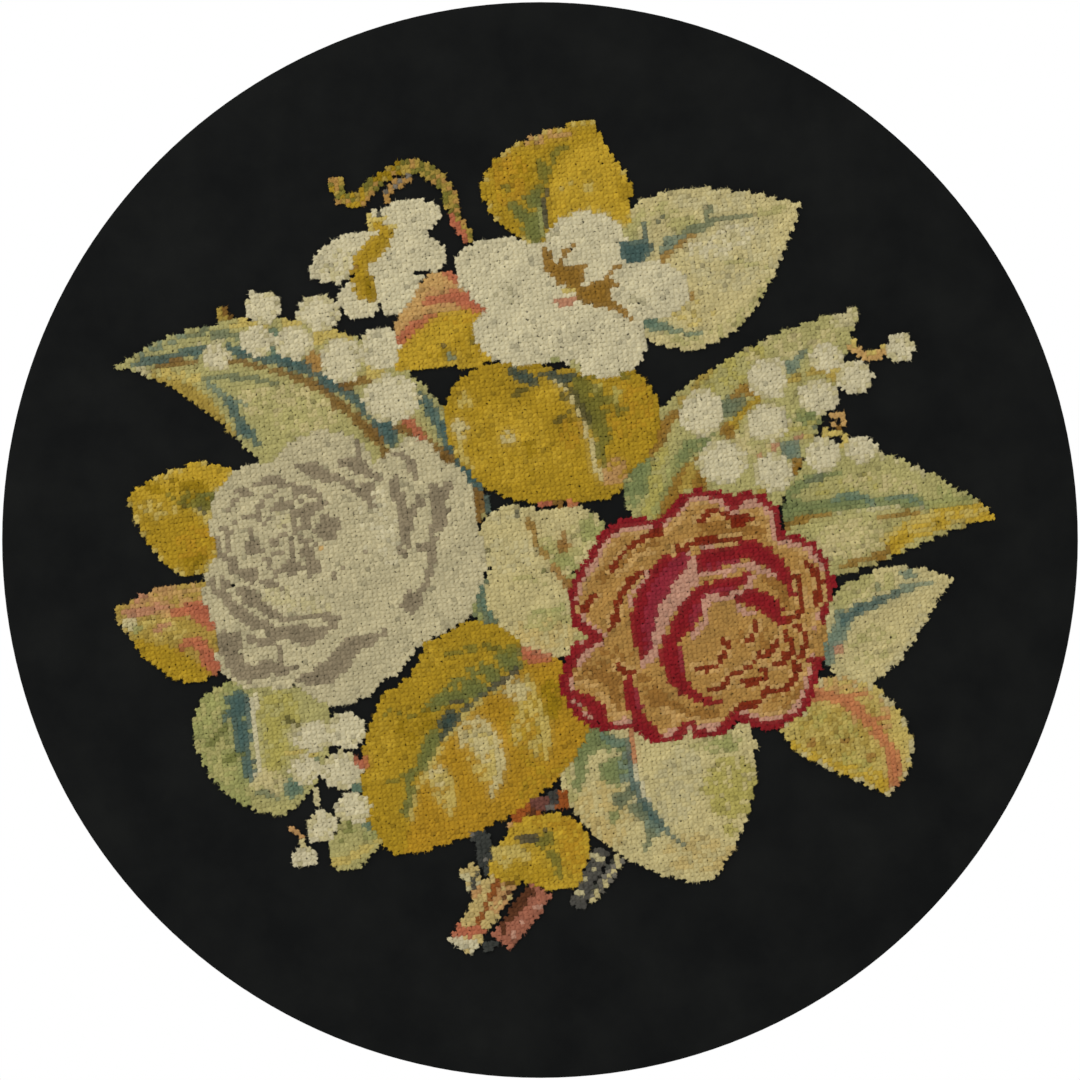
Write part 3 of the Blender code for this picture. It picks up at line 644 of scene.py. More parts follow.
DRAWINGS["leaf_left_long"] = Motif("pale_green", [
    Patch("cream_yellow", -98, 52, 20, 9, -15, 0.4),
    Patch("cream", -158, 66, 7, 2.6, 0, 0.7),
    Patch("cream", -128, 77, 7, 1.8, 0, 0.6),
    Line("straw", [(-150, 65.5, 3), (-140, 64, 4), (-132, 62, 4)], 0.7),
    Line("old_gold", [(-150, 63, 3), (-140, 59, 5), (-131, 53.5, 6), (-125.5, 47, 5), (-119, 38, 4),
        (-114, 34, 3)]),
    # The midrib: teal above, brown below
    Line("teal", [(-158, 68.5, 2.6), (-150, 70, 3.6), (-141, 72, 3.8), (-132, 73.5, 3.8)]),
    Line("teal", [(-121, 74.5, 3.4), (-113, 72, 3.6), (-106, 70.3, 3.8), (-96, 68.7, 4.6),
        (-88, 66, 5.4), (-83, 61.5, 4.2), (-75, 57, 3.8), (-67.5, 50.5, 3.8), (-64, 46, 3.4)]),
    Line("brown", [(-150, 68.3, 1.8), (-140, 69.6, 1.8), (-132, 70, 1.8)], 0.9),
    Line("brown", [(-121, 69.5, 2), (-115, 69, 2), (-105, 66.5, 2.2), (-97.5, 64.5, 2.6), (-90, 61, 3),
        (-83, 57, 3.2), (-77, 52, 3.8), (-69.5, 45.5, 4), (-64.5, 40.5, 3.8), (-60, 34.5, 3.4)]),
    # Veins
    Line("grey_teal", [(-156, 72, 1.8), (-146, 76.5, 1.8), (-137, 80, 1.8)], 0.6),
    Line("green_grey", [(-137, 79.5, 2.6), (-128, 80.5, 4), (-121, 80, 3.4), (-116, 79, 2.4)], 0.9),
    Line("straw", [(-121, 83.5, 2.6), (-114, 84.5, 2.8), (-108, 83, 3)]),
    Line("straw", [(-100, 84.5, 3), (-94, 83.5, 3)]),
    Line("teal_light", [(-104, 81.5, 2.6), (-104.5, 77, 2.6), (-104, 73, 2.6)]),
    Line("green_grey", [(-132, 63, 2.6), (-124, 63.5, 2.4), (-113, 63.2, 2), (-103, 61, 2)]),
    Line("grey_teal", [(-130, 61.5, 2.2), (-125, 58, 2.2), (-121.5, 54.5, 3), (-114, 53, 1.8)]),
    Line("teal", [(-121.5, 54, 3), (-118, 47.5, 3.2), (-114.5, 42.5, 5.4), (-110, 37.5, 2.2)]),
    # Between the bells
    Line("straw", [(-91, 76, 4), (-86, 79.5, 5), (-80, 80.5, 4), (-75, 77.5, 4), (-72.5, 74, 3)]),
    Line("tan", [(-91.5, 76, 3), (-89, 72, 4.4), (-87, 67, 4.4)]),
    Line("brown", [(-77, 60.5, 3), (-72, 61.5, 3.6), (-67, 62, 3)]),
    Patch("straw", -64, 65, 4.6, 3.6),
    # Where the leaf passes between the rose and the middle leaf
    Line("pale_green", [(-46, 48, 6), (-41, 42, 5), (-37, 36, 4), (-32, 28, 3)]),
    Line("teal", [(-47, 57, 3), (-42, 50, 5), (-38, 42, 3.4), (-34, 34, 3.4), (-27, 25.5, 5),
        (-21.5, 19, 5), (-21, 12, 4)]),
    Line("brown", [(-57, 42.5, 4.6), (-52, 43, 5), (-48, 41.5, 4.6), (-42, 36, 5), (-35, 30.5, 5)]),
    Line("coral", [(-54, 46.3, 2), (-50, 45, 3.4), (-46.5, 40.5, 3.4)]),
    Line("teal", [(-62, 45, 5), (-58.5, 41, 6), (-57.5, 38, 4.4)]),
    Line("brown", [(-27, 20, 4), (-24.5, 15, 5.4), (-25, 10, 5.4)]),
    Patch("rust", -26, 13, 3, 3, 0, 0.25),
])

DRAWINGS["tendril"] = Motif("old_gold", [
    Rim("tan", 6, 0.3),
    Rim("olive", 1.6, 0.35),
    Patch("gold", -76, 134, 8, 5, 0, 0.6),
    Patch("gold_deep", -62, 144, 8, 4, 0, 0.4),
    Line("coral", [(-36.5, 128, 2.4), (-33, 123, 3.4), (-30, 118.5, 3.4)]),
])
DRAWINGS["stem_snowdrop"] = Motif("tan", [
    Rim("grey", 6, 0.45),
])
print("flowers and leaves above drawn")

# %% The leaves on the left
DRAWINGS["leaf_left_yellow"] = Motif("gold", [
    Side("gold_bright", [(-160, 19), (-150, 15), (-140, 13.5), (-133, 10), (-127, 4), (-120, -2)]),
    Patch("gold_orange", -134, -2, 9, 7, 0, 0.6),
    Patch("gold_deep", -133, -9, 6, 4, 0, 0.7),
    Patch("straw", -150, 12, 8, 4, 0, 0.4),
    Line("gold_deep", [(-154, 20.5, 3), (-144, 20, 6), (-134, 18, 10), (-124, 14, 12)], 0.7),
    Line("olive", [(-145, 17, 2), (-136, 15.6, 5), (-128, 14, 9), (-121, 10, 10)], 0.85),
    Line("olive_green", [(-129, 17, 5), (-124.5, 13, 8), (-123, 8, 7)], 0.8),
    Line("straw", [(-135, 11.3, 1.6), (-131, 9, 1.6), (-128.4, 5.6, 1.6)]),
    Patch("dark_olive", -139.3, 12.8, 1.2, 1),
    Line("charcoal", [(-134, 12.8, 1.6), (-130.5, 10.6, 2), (-128, 8.2, 3.4), (-126, 6.4, 1.8)]),
    Rim("straw", 1.2, 0.4),
])

DRAWINGS["leaf_left_coral"] = Motif("old_gold", [
    Patch("tan_light", -140, -24, 18, 6, 8, 0.6),
    Patch("straw", -144, -33, 12, 5, 0, 0.45),
    Patch("peach", -150, -24, 10, 5, 12, 0.45),
    Side("gold", [(-124, -54.5), (-131, -50.5), (-138, -45), (-145, -41.5), (-152, -40), (-160, -38)]),
    Line("gold_bright", [(-150, -48, 2), (-140, -53, 2), (-128, -55, 2)], 0.5),
    Patch("cream", -159.5, -33, 4.4, 2.6, -45),
    Patch("light_green", -156.5, -34.5, 2.4, 2, 0, 0.5),
    *in_shade("salmon", [
        [(-157, -23, 2.2), (-153.5, -21.5, 2.2)],
        [(-162, -28.5, 2), (-156, -28.3, 3), (-150, -26.3, 3), (-146, -26, 2.2)],
        [(-150, -35, 2), (-145.5, -32.8, 2)],
    ]),
    *in_shade("coral", [
        [(-142, -28.5, 3), (-136, -27.3, 6), (-131, -28.5, 8), (-127.5, -32, 7), (-122, -36, 4.5)],
        [(-138, -40.5, 3), (-132, -41, 5), (-130, -45, 5.5), (-127.5, -49, 5.5), (-123, -52, 3)],
        (-139.8, -42.3, 1.7, 1.1),
    ]),
])

DRAWINGS["leaf_lower_left"] = Motif("pale_green", [
    Side("light_green", [(-113, -104), (-112.5, -80), (-113, -55)], 0.7),
    Patch("pale_green", -127, -88, 6, 9, 30, 0.5),
    *in_shade("lime", [(-102, -67, 9, 8), (-103.5, -82, 6, 9)], 0.8),
    Patch("cream", -92, -76, 7, 5, 0, 0.9),
    Patch("cream_yellow", -106, -94.5, 8, 5, -15, 0.9),
    *in_shade("teal_light", [(-96.8, -97, 4.2, 3.6), (-87, -84.5, 1.7, 1.7)]),
    Line("straw", [(-98, -83.5, 2.2), (-88, -83.5, 2.2)]),
    Line("green_grey", [(-110, -98, 2), (-106, -99, 1.8), (-101, -101.5, 1.8)]),
    Line("ivory", [(-111.4, -60, 2), (-111.8, -66, 3.2), (-111.2, -75, 2.2), (-110.6, -84, 2.2),
        (-110, -92, 2)]),
    Line("teal", [(-118, -62.5, 7), (-116.5, -67, 8), (-116, -73.5, 6.4), (-115.5, -80, 6),
        (-114, -87, 5), (-112.6, -93, 3)]),
    Patch("teal", -119, -62.6, 4.4, 2),
    Line("teal", [(-123, -69.5, 2.4), (-119, -66.5, 5)]),
    Line("light_green", [(-118.6, -69, 1.5), (-115.4, -69, 1.5)]),
    Line("olive_green", [(-122.5, -72.5, 2.6), (-126.5, -76.5, 2.2), (-129, -80.5, 1.8)]),
    Line("olive_green", [(-122.5, -86, 2.4), (-119.5, -84.5, 2.4), (-116, -84, 2)]),
    Line("dark_olive", [(-99.6, -69, 1.6), (-97, -70.8, 2.6), (-94.6, -72.2, 1.8)]),
])

DRAWINGS["leaf_small_low"] = Motif("pale_green", [
    Patch("light_green", -68, -114, 6, 3, -15, 0.7),
    Line("olive_green", [(-73, -110, 2.5), (-77, -117, 2.5)], 0.6),
    Line("straw", [(-79, -126, 3.4), (-70, -122, 3), (-63, -117.5, 2.6)], 0.8),
    Patch("teal_light", -65, -111.2, 4, 2.6, -20),
])
print("leaves on the left drawn")

# %% The leaves in the middle
DRAWINGS["leaf_big_yellow"] = Motif("gold", [
    Patch("gold_deep", -47, -74, 9, 10, 0, 0.35),
    *in_shade("gold_bright", [(-62, -80, 6, 14, -10), (-46, -48, 9, 5, 35)], 0.5),
    Side("gold_orange", [(-7, -49), (-19, -58.5), (-31, -68), (-40, -80), (-48, -95), (-52, -118)]),
    Patch("gold", -4, -74, 9, 14, 0, 0.6),
    Patch("gold_deep", 4, -62, 4.5, 8, 10, 0.8),
    Patch("gold", 2, -93, 12, 6, 30, 0.4),
    # Shadow beside the midrib
    Line("olive", [(-37, -44.5, 2), (-28, -43, 2.6), (-20, -42, 3.4), (-9, -43.5, 4)], 0.75),
    Line("olive_green", [(-6, -44, 4), (-11, -48, 9), (-19, -51.5, 12), (-27, -56, 12), (-35, -61, 8),
        (-44, -65.5, 3)], 0.85),
    Line("olive", [(-60, -67, 2.4), (-50, -67.5, 2.4), (-42, -65, 2.4)], 0.5),
    Line("olive_green", [(-42, -79, 5), (-45, -85, 6), (-48.5, -92, 7), (-51, -100, 5),
        (-52.5, -108, 3)], 0.75),
    Line("olive", [(-49, -91, 2.6), (-54, -92.5, 2.2), (-60, -94.5, 1.8)], 0.6),
    Patch("olive_green", -42, -77.5, 3.6, 3.4),
    # Lights on the right half
    Line("straw", [(-10, -51.5, 2), (-17, -58, 2), (-25, -64.5, 2), (-31, -71, 2.2), (-37, -78.5, 2),
        (-41, -85, 2.2), (-45, -92, 2.2), (-48.5, -100, 2), (-50.5, -110, 1.8)], 0.9),
    Patch("cream_yellow", -9, -58, 5, 4.6, 0, 0.8),
    Patch("straw", -4, -74, 7, 12, 8, 0.55),
    Line("straw", [(-5, -54, 2.4), (-1.5, -61, 2.2), (1, -68, 2.4), (2.6, -76, 3), (2, -84, 2.6)]),
    Patch("cream_yellow", -26.5, -76, 5.4, 6.4, 10, 0.9),
    Patch("straw", -22, -84, 7, 11, 10, 0.75),
    Patch("cream_yellow", -22, -80, 6, 7, 10, 0.6),
    Patch("gold_orange", -31, -85, 5.5, 5, 0, 0.9),
    *in_shade("cream_yellow", [
        [(-24, -69, 2), (-18.5, -75.5, 2.6), (-16, -83, 3.2), (-15.5, -91, 3), (-19, -99, 2)],
        (-39.5, -92.5, 3.6, 4.4),
    ]),
    Patch("straw", -38, -98, 4.4, 7, 15, 0.75),
    Line("straw", [(-37.5, -89.5, 2), (-34.4, -95, 2.2), (-33.4, -101, 2.2), (-35.5, -107, 1.8)]),
    # Midrib
    Line("charcoal", [(-8.5, -50.3, 1.8), (-14, -54.6, 2.2), (-18.5, -57.6, 2)]),
    Line("dark_teal", [(-18.5, -57.6, 2), (-24, -61.5, 1.8), (-29.5, -66, 2)]),
    Line("charcoal", [(-34, -64, 1.5), (-31, -63.4, 1.6), (-28, -64, 1.4)]),
    *in_shade("dark_teal", [(-35.6, -70.3, 5.4, 3.6, 28), [(-36, -73.5, 3.4), (-38.8, -78, 1.8)]]),
    # Where other wool meets the leaf
    Line("coral", [(-5, -42, 2.6), (-4, -46, 5), (0, -45.5, 5), (3, -46, 3)]),
    Line("coral", [(-70, -84, 3), (-68.4, -88, 3)]),
])

DRAWINGS["leaf_pale_middle"] = Motif("cream_yellow", [
    *in_shade("cream", [(-12, -5, 9, 7), (-14, 9, 6, 3)], 0.6),
    Patch("straw_pale", 3, -36, 14, 6, 0, 0.6),
    Patch("pale_green", 2, -31, 11, 3.6, 5, 0.6),
    Patch("pale_green", 3, -2.5, 4.4, 3.6, 0, 0.9),
    Line("light_green", [(1, -2.5, 2), (4, -6, 4), (8.5, -8.5, 7), (12, -12, 8), (15, -15.5, 5)], 0.9),
    Patch("pale_green", 13, -1, 5, 6, 0, 0.6),
    Patch("light_green", 20.5, 4.5, 5.4, 5.2, 0, 0.8),
    Line("pale_green", [(-9, -15, 1.8), (-4, -14.5, 2.2), (2, -17, 2.2)], 0.7),
    Line("light_green", [(9, -26.5, 3), (4, -28, 2.4), (-2, -28.3, 2), (-6, -30, 2)], 0.7),
    Line("olive_green", [(-1.5, -12.5, 1.6), (0, -12.3, 1.8), (2, -10.8, 1.6)], 0.8),
    Line("brown_gold", [(-5.6, 9, 1.8), (-3.8, 6.6, 3.6), (-2.3, 5, 2.6), (-2.2, 2, 1.8),
        (-1.6, -1, 1.8), (3, -7, 1.8)]),
    *in_shade("tan_deep", [(9.4, -2.4, 2.6, 2.4), [(8.6, 3.6, 2), (9.4, 0, 2.4)]]),
    Line("tan_deep", [(4.4, -9.4, 1.8), (7, -12.5, 2.4), (9.8, -15.8, 3.2), (12.5, -19.5, 2.6)], 0.9),
    Line("olive", [(-22.5, -10.5, 2), (-21.6, -14.5, 4)]),
    Patch("dark_olive", -21.5, -4.2, 1.2, 1),
    Patch("charcoal", -8.5, 11, 1, 1.7),
    Line("coral", [(-5, -42, 2.6), (-4, -46, 5), (0, -45.5, 5), (3, -46, 3)]),
])
DRAWINGS["leaf_teal"] = Motif("green_grey", [
    Patch("light_green", -26, -27, 3, 6, 20, 0.7),
    Patch("teal_light", -21, -24, 3, 6, 20, 0.6),
])

DRAWINGS["leaf_bottom_right"] = Motif("cream_yellow", [
    Patch("straw_pale", 24, -108, 12, 14, 0, 0.55),
    Patch("cream", 54, -95, 9, 16, -10, 0.6),
    Patch("straw_pale", 62, -122, 14, 8, 0, 0.5),
    Patch("lime", 75, -96, 12, 12, 25, 0.75),
    Patch("lime", 76, -112, 5, 3, 20, 0.7),
    Patch("light_green", 72, -79.5, 8, 3, 10, 0.8),
    Patch("pale_green", 60, -79.5, 6, 2.4, 0, 0.6),
    Patch("pale_green", 13, -92, 4, 10, 0, 0.7),
    Line("green", [(20, -72, 6), (18.5, -79, 9), (16.5, -87, 6), (15, -96, 4)], 0.9),
    *in_shade("green", [[(22, -74, 5), (27, -81, 6), (34, -82, 7)], (29.5, -90.5, 7, 5.6)]),
    Patch("grey_teal", 34, -88, 3.4, 8, 0, 0.7),
    Line("teal_light", [(24.5, -77, 3.4), (30, -78.8, 4), (35, -78.5, 4)]),
    *in_shade("green_grey", [
        (31, -101, 3.2, 2.8),
        [(30, -101, 3), (35, -98.5, 4), (37, -96, 4)],
        (40, -106, 6.4, 3.2, -25),
    ]),
    Patch("grey_teal", 44.3, -112, 3.6, 3.4),
    Line("green_grey", [(43, -114, 3), (42, -118, 2.2), (41, -121, 1.8)]),
    Patch("green", 28.5, -108, 2, 2.2),
    Line("cream_yellow", [(22, -86, 2.2), (26, -83.6, 2.8), (31, -83.2, 2.2)]),
    Patch("cream", 37.6, -101.5, 2.6, 1.4, 30),
    Line("teal", [(35.6, -82, 2), (36, -90, 3), (37.2, -95, 3.2), (38.8, -99.4, 3), (41.4, -103.4, 3),
        (44.4, -107.5, 2.6), (47, -111, 2.6), (49.5, -114, 2), (53, -117, 1.8), (57.5, -119.5, 1.6)]),
    Line("peach_deep", [(36, -73, 2.2), (36.6, -80, 2.2), (37, -86, 1.8)]),
    Line("ivory", [(37.4, -87.8, 2.2), (38.2, -92, 2.2), (39.9, -97, 2), (42.4, -102, 1.8)]),
])

DRAWINGS["leaf_bottom_yellow"] = Motif("gold_bright", [
    Patch("straw", -11, -123.5, 8, 5, -20, 0.75),
    Patch("gold", -4, -130, 10, 4.4, 0, 0.8),
    Patch("gold_orange", 13, -120, 4.6, 12, 0, 0.7),
    Patch("gold_orange", 4, -110, 8, 3, 0, 0.5),
    Patch("olive", 2, -116.6, 4, 2.8, 0, 0.9),
    Line("olive", [(-0.5, -119, 2), (3, -121, 3), (6, -124, 4), (8, -130, 3)], 0.9),
    Line("charcoal", [(-8.5, -116.8, 2), (-5, -116.4, 2.8), (-1.5, -116, 2)]),
    Patch("charcoal", 2.3, -112.8, 1.9, 1),
    Line("dark_brown", [(-14.5, -134, 1.5), (-10, -134.4, 1.5)]),
])
print("leaves in the middle drawn")

# %% The leaves on the right
DRAWINGS["leaf_right_upper"] = Motif("pale_green", [
    Patch("cream_yellow", 95, 75, 22, 5, 12, 0.5),
    Patch("cream", 119, 86.5, 6, 4, 20, 0.8),
    Patch("lime", 74, 66, 16, 6, 30, 0.4),
    Patch("cream_yellow", 82, 40, 22, 6, 20, 0.5),
    Line("old_gold", [(67, 65, 2), (62.5, 63, 2), (58.5, 58, 3.4), (54, 54, 2.6)], 0.7),
    Line("brown_gold", [(52.5, 50, 3), (48.5, 43.5, 4.6), (45, 36.5, 5.4), (40, 32, 4)]),
    # Left part, beside the rose
    Patch("green", 37.5, 23, 6, 10, -10, 0.9),
    Line("lime", [(47.5, 34, 4), (45, 24, 6), (43, 10, 6)], 0.75),
    Line("light_green", [(57, 35, 5), (52.5, 26, 5), (49.5, 18, 5), (45.5, 9, 5)], 0.85),
    Line("green", [(54, 31, 4), (60, 37, 7), (66, 41, 4)], 0.85),
    Line("brown_gold", [(46.5, 7, 3.4), (49.6, 13, 4.6), (53, 20, 5.4), (56, 26, 5), (60, 30.5, 3)]),
    Patch("brown_gold", 62.3, 23.5, 3.6, 4.4, 20),
    Line("old_gold", [(54.5, 18, 3), (57.6, 24, 4), (60, 29, 3)]),
    # Between the bells
    *in_shade("green_grey", [(76.5, 52.6, 5.4, 3.8, 12), [(72.8, 55, 3), (73, 49, 3)]]),
    Line("brown_gold", [(76, 56.6, 2.4), (80.5, 59, 5), (84, 56.5, 3)]),
    Line("gold", [(76, 45, 4), (78.5, 49, 3), (82, 52.6, 2.2), (86, 55, 2), (91.5, 56, 2)]),
    Patch("brown_gold", 73.4, 42.6, 3.2, 2.8),
    *in_shade("grey_teal", [(98, 67.6, 3.4, 3.2), [(99, 69, 2.6), (103.5, 73, 2.6)]]),
    Line("old_gold", [(97, 62.5, 2.6), (101, 64, 2.8), (108, 65, 3), (114, 63, 3)], 0.8),
    Line("straw", [(113, 66, 2.6), (119, 68, 2.6)]),
    Patch("light_green", 102, 47, 9, 5, 0, 0.7),
    Patch("green", 106, 47.5, 5.4, 4.4, -20, 0.8),
    Patch("grey_teal", 109.5, 45, 2.8, 3.2, 0, 0.8),
    Line("lime", [(96, 42, 2), (104, 44.5, 2), (106, 46, 2)]),
    Line("straw", [(103, 40.6, 2), (110, 41, 2.2), (117, 40, 2)]),
    *in_shade("salmon", [(101.3, 39.6, 2, 1.4), (92, 36.6, 2.2, 1.5)]),
    Line("salmon", [(83, 32.8, 2), (88, 34, 2)], 0.7),
    Patch("grey_teal", 97.5, 35, 4.6, 3.6),
    Patch("brown_gold", 101, 28, 4.4, 3.8),
    Patch("old_gold", 85, 19.6, 4.6, 2.6, 0, 0.7),
    Patch("pale_green", 79, 20, 5, 2.6, 0, 0.8),
])

DRAWINGS["leaf_right_long"] = Motif("pale_green", [
    Patch("cream_yellow", 121, 0, 15, 8, 15, 0.65),
    Patch("cream_yellow", 133, 22, 16, 3.4, -6, 0.6),
    Patch("lime", 120, 21, 12, 4, 10, 0.3),
    *in_shade("cream", [
        [(133, 33, 3), (145, 29.5, 3), (153, 24, 3)],
        [(113, 11, 2), (125, 12.6, 2.4), (136, 13.2, 2.4), (148, 13.6, 2.4), (158, 12.6, 2)],
    ], 0.7),
    Line("green", [(95.5, 13, 5), (97.5, 19, 4.4), (102, 22, 4), (107, 24, 4), (112, 25.8, 3),
        (117, 26, 2)]),
    Line("green_grey", [(103, 22, 2), (107, 23.6, 3), (110, 24.4, 2)]),
    Line("green", [(94.5, 8, 8), (97, 11.8, 7), (105, 13, 5), (113, 13.4, 5), (120, 14.4, 5),
        (130, 14.8, 4.4), (138, 15.2, 4), (146, 15.4, 4), (151, 14, 3)]),
    Line("teal_light", [(114, 15.8, 1.8), (119, 17, 2), (125, 17, 2.8), (130, 14.6, 1.8)]),
    Line("teal_light", [(136, 15.8, 1.8), (143, 16.6, 2.6), (148, 14.8, 2.4)]),
    Line("light_green", [(151, 14, 3), (157, 14.6, 4.4), (163, 15.6, 4.4), (168, 15, 3)]),
    Patch("light_green", 157.5, 19, 3.4, 2.2, -30, 0.8),
    Line("brown_gold", [(96, 5.4, 3), (101, 7.4, 2.6), (107, 9, 2.2), (113, 10, 2)]),
    Line("brown_gold", [(133, 9.4, 2), (139, 9.4, 3), (143, 10.6, 2.4), (147, 10.8, 1.8)]),
    Line("gold_bright", [(177, 9.5, 6), (172, 11, 7.4), (165, 10.4, 7.4), (158, 8.6, 8),
        (151, 6.6, 8.4), (144, 3.6, 8), (138, -2, 6)]),
    Line("gold", [(136, -3, 3), (141, 1, 3), (148, 3.4, 2)], 0.6),
    Line("straw", [(176, 9, 6), (166, 9, 6), (155, 7, 6), (146, 4, 5)], 0.45),
    Line("straw", [(154, 9.6, 3), (146, 7.6, 3), (139, 3, 3), (133, 0, 2)], 0.6),
    Line("brown_gold", [(118, -10, 2.4), (124, -8.6, 2.6), (128, -7.2, 3), (132, -6, 3.6),
        (135.5, -4, 3)]),
])

DRAWINGS["leaf_right_small"] = Motif("cream_yellow", [
    Patch("pale_green", 121, -21, 9, 6, 15, 0.7),
    Patch("pale_green", 133, -16, 8, 4, 0, 0.6),
    Patch("pale_green", 130, -40, 12, 7, 20, 0.35),
    Line("cream", [(149, -27, 3), (146, -36, 4), (142, -44, 4), (136, -50, 3)], 0.7),
    Line("grey_teal", [(111, -47, 6), (114, -41, 7), (116.5, -36, 7), (117.4, -31, 6),
        (116, -28, 3.4)]),
    Line("teal", [(118.5, -31, 4), (124.5, -27, 5.6), (129, -26, 3.4)]),
    Line("teal", [(129.5, -24.8, 3.6), (134, -23, 3.2), (139.5, -20.6, 2.8)]),
    Line("grey_teal", [(141, -18.8, 2.8), (147, -17.8, 2.4), (153, -16.8, 2)]),
    Patch("grey_teal", 143.4, -13.6, 3.2, 1.8, -20),
    Patch("green_grey", 132, -18.5, 1.4, 1.4),
    Patch("salmon", 116.5, -43, 1.4, 1.6),
])

DRAWINGS["leaf_right_coral"] = Motif("straw", [
    Patch("peach", 128, -64, 14, 9, -35, 0.35),
    Patch("old_gold", 118, -74, 18, 14, -25, 0.5),
    Patch("tan_light", 118, -56, 12, 4, -5, 0.35),
    Patch("lime", 112, -72, 12, 6, -10, 0.25),
    Line("gold_bright", [(98, -80, 4), (104, -84.6, 6), (110, -88, 6), (117, -89.6, 6), (125, -90, 5),
        (130, -91.6, 6), (135, -97, 6)], 0.75),
    Line("lime", [(120, -85, 5), (127, -88, 5)], 0.5),
    *in_shade("peach_deep", [
        [(105.5, -61.6, 2.4), (110, -60.4, 4.6), (114, -61.4, 4.6), (118, -62.4, 4.4),
         (121.5, -64.4, 4.4), (124.5, -67, 4.4), (128, -70, 4.6), (131, -73.5, 4.4), (133.5, -77, 5),
         (136, -81, 5), (138, -86, 5), (138.4, -91, 4.6), (137.5, -95, 3)],
        [(120.5, -60.6, 1.8), (124.5, -59.6, 2.6), (128, -59, 1.8)],
        [(128, -70.4, 3), (132, -69.6, 2.6), (135.4, -69, 1.8)],
    ]),
    *in_shade("tan_deep", [
        (105.8, -79.5, 1.4, 2.2, 20), (118.3, -78.5, 1.6, 1.5), (128.5, -84.5, 1.6, 2, 20),
    ]),
    Rim("cream", 1.2, 0.35),
])
print("leaves on the right drawn")

# %% The stems and the bells
DRAWINGS["stem_main"] = Motif("straw_pale", [
    Patch("peach", -14, -140, 6, 7, -40, 0.7),
    Patch("dark_brown", -13, -138.5, 3, 4, -40, 0.25),
    Line("rust_brown", [(-16, -129.8, 1.8), (-17.2, -135, 2.6), (-20.2, -141, 2), (-22.5, -146, 2),
        (-24.5, -150.5, 2)]),
    Line("coral", [(-36, -151.6, 4.4), (-29.5, -152.8, 4.4), (-24, -152, 4.4)]),
    Line("ivory", [(-37, -156.6, 4.4), (-31, -157.4, 4.4), (-26, -158, 4.4)]),
])
DRAWINGS["stem_upper"] = Motif("coral_deep", [
    Patch("peach", -12, -113.4, 2.4, 2.4),
    Patch("brown_red", -0.5, -102.5, 4.4, 3.6, 0, 0.85),
    Patch("charcoal", 5, -101, 2.2, 4),
    Patch("grey", 4.6, -104.5, 2, 1.6),
    Patch("dark_brown", -3.5, -106, 1.4, 2.4),
])
DRAWINGS["stem_coral"] = Motif("salmon_dark", [
    Line("dark_brown", [(-3.6, -137.2, 4.4), (-8.2, -143, 4), (-12.8, -148.7, 3.4),
        (-15.1, -152.7, 2.4)], 0.9),
    Line("pink", [(1, -140, 2.2), (-5, -147, 2.2), (-11, -154, 2.2)], 0.45),
])
DRAWINGS["stem_grey"] = Motif("grey_dark", [
    Line("cream", [(24, -121.5, 4), (19, -130, 4), (14.5, -138, 3)], 0.35),
    Line("charcoal", [(21, -121.5, 2.6), (16, -130, 2.6), (12, -138, 2.6)], 0.6),
])
DRAWINGS["stem_pale"] = Motif("grey", [
    Line("cream_yellow", [(31, -124, 3), (25.5, -132, 3), (20, -140, 3)], 0.7),
    Line("charcoal", [(28.4, -124, 2), (22.8, -132, 2), (17.6, -140, 2)], 0.7),
])
DRAWINGS["stem_teal"] = Motif("charcoal", [
    Line("grey", [(-25.5, -115, 2), (-23.5, -120, 2), (-22, -125, 2)], 0.7),
])
DRAWINGS["stem_thorn"] = Motif("straw_pale", [
    Rim("cream", 2, 0.4),
    Patch("charcoal", -26, -133, 3, 4, 0, 0.12),
    Patch("peach", -25, -137, 2, 2.4, 0, 0.6),
])
DRAWINGS["stem_right_sprig"] = Motif("tan_light", [
    Patch("straw", 128, 74, 9, 5, 0, 0.5),
])
BELL = Motif("ivory", [
    Rim("cream", 2.4, 0.35),
])
DRAWINGS["bell_low_04"] = Motif("ivory", [
    Rim("cream", 2.4, 0.35),
    Patch("charcoal", -70.4, -82.4, 2, 0.9),
    Line("coral", [(-72.5, -83.6, 2.4), (-69.6, -86.6, 4)]),
])
print("stems and bells drawn")

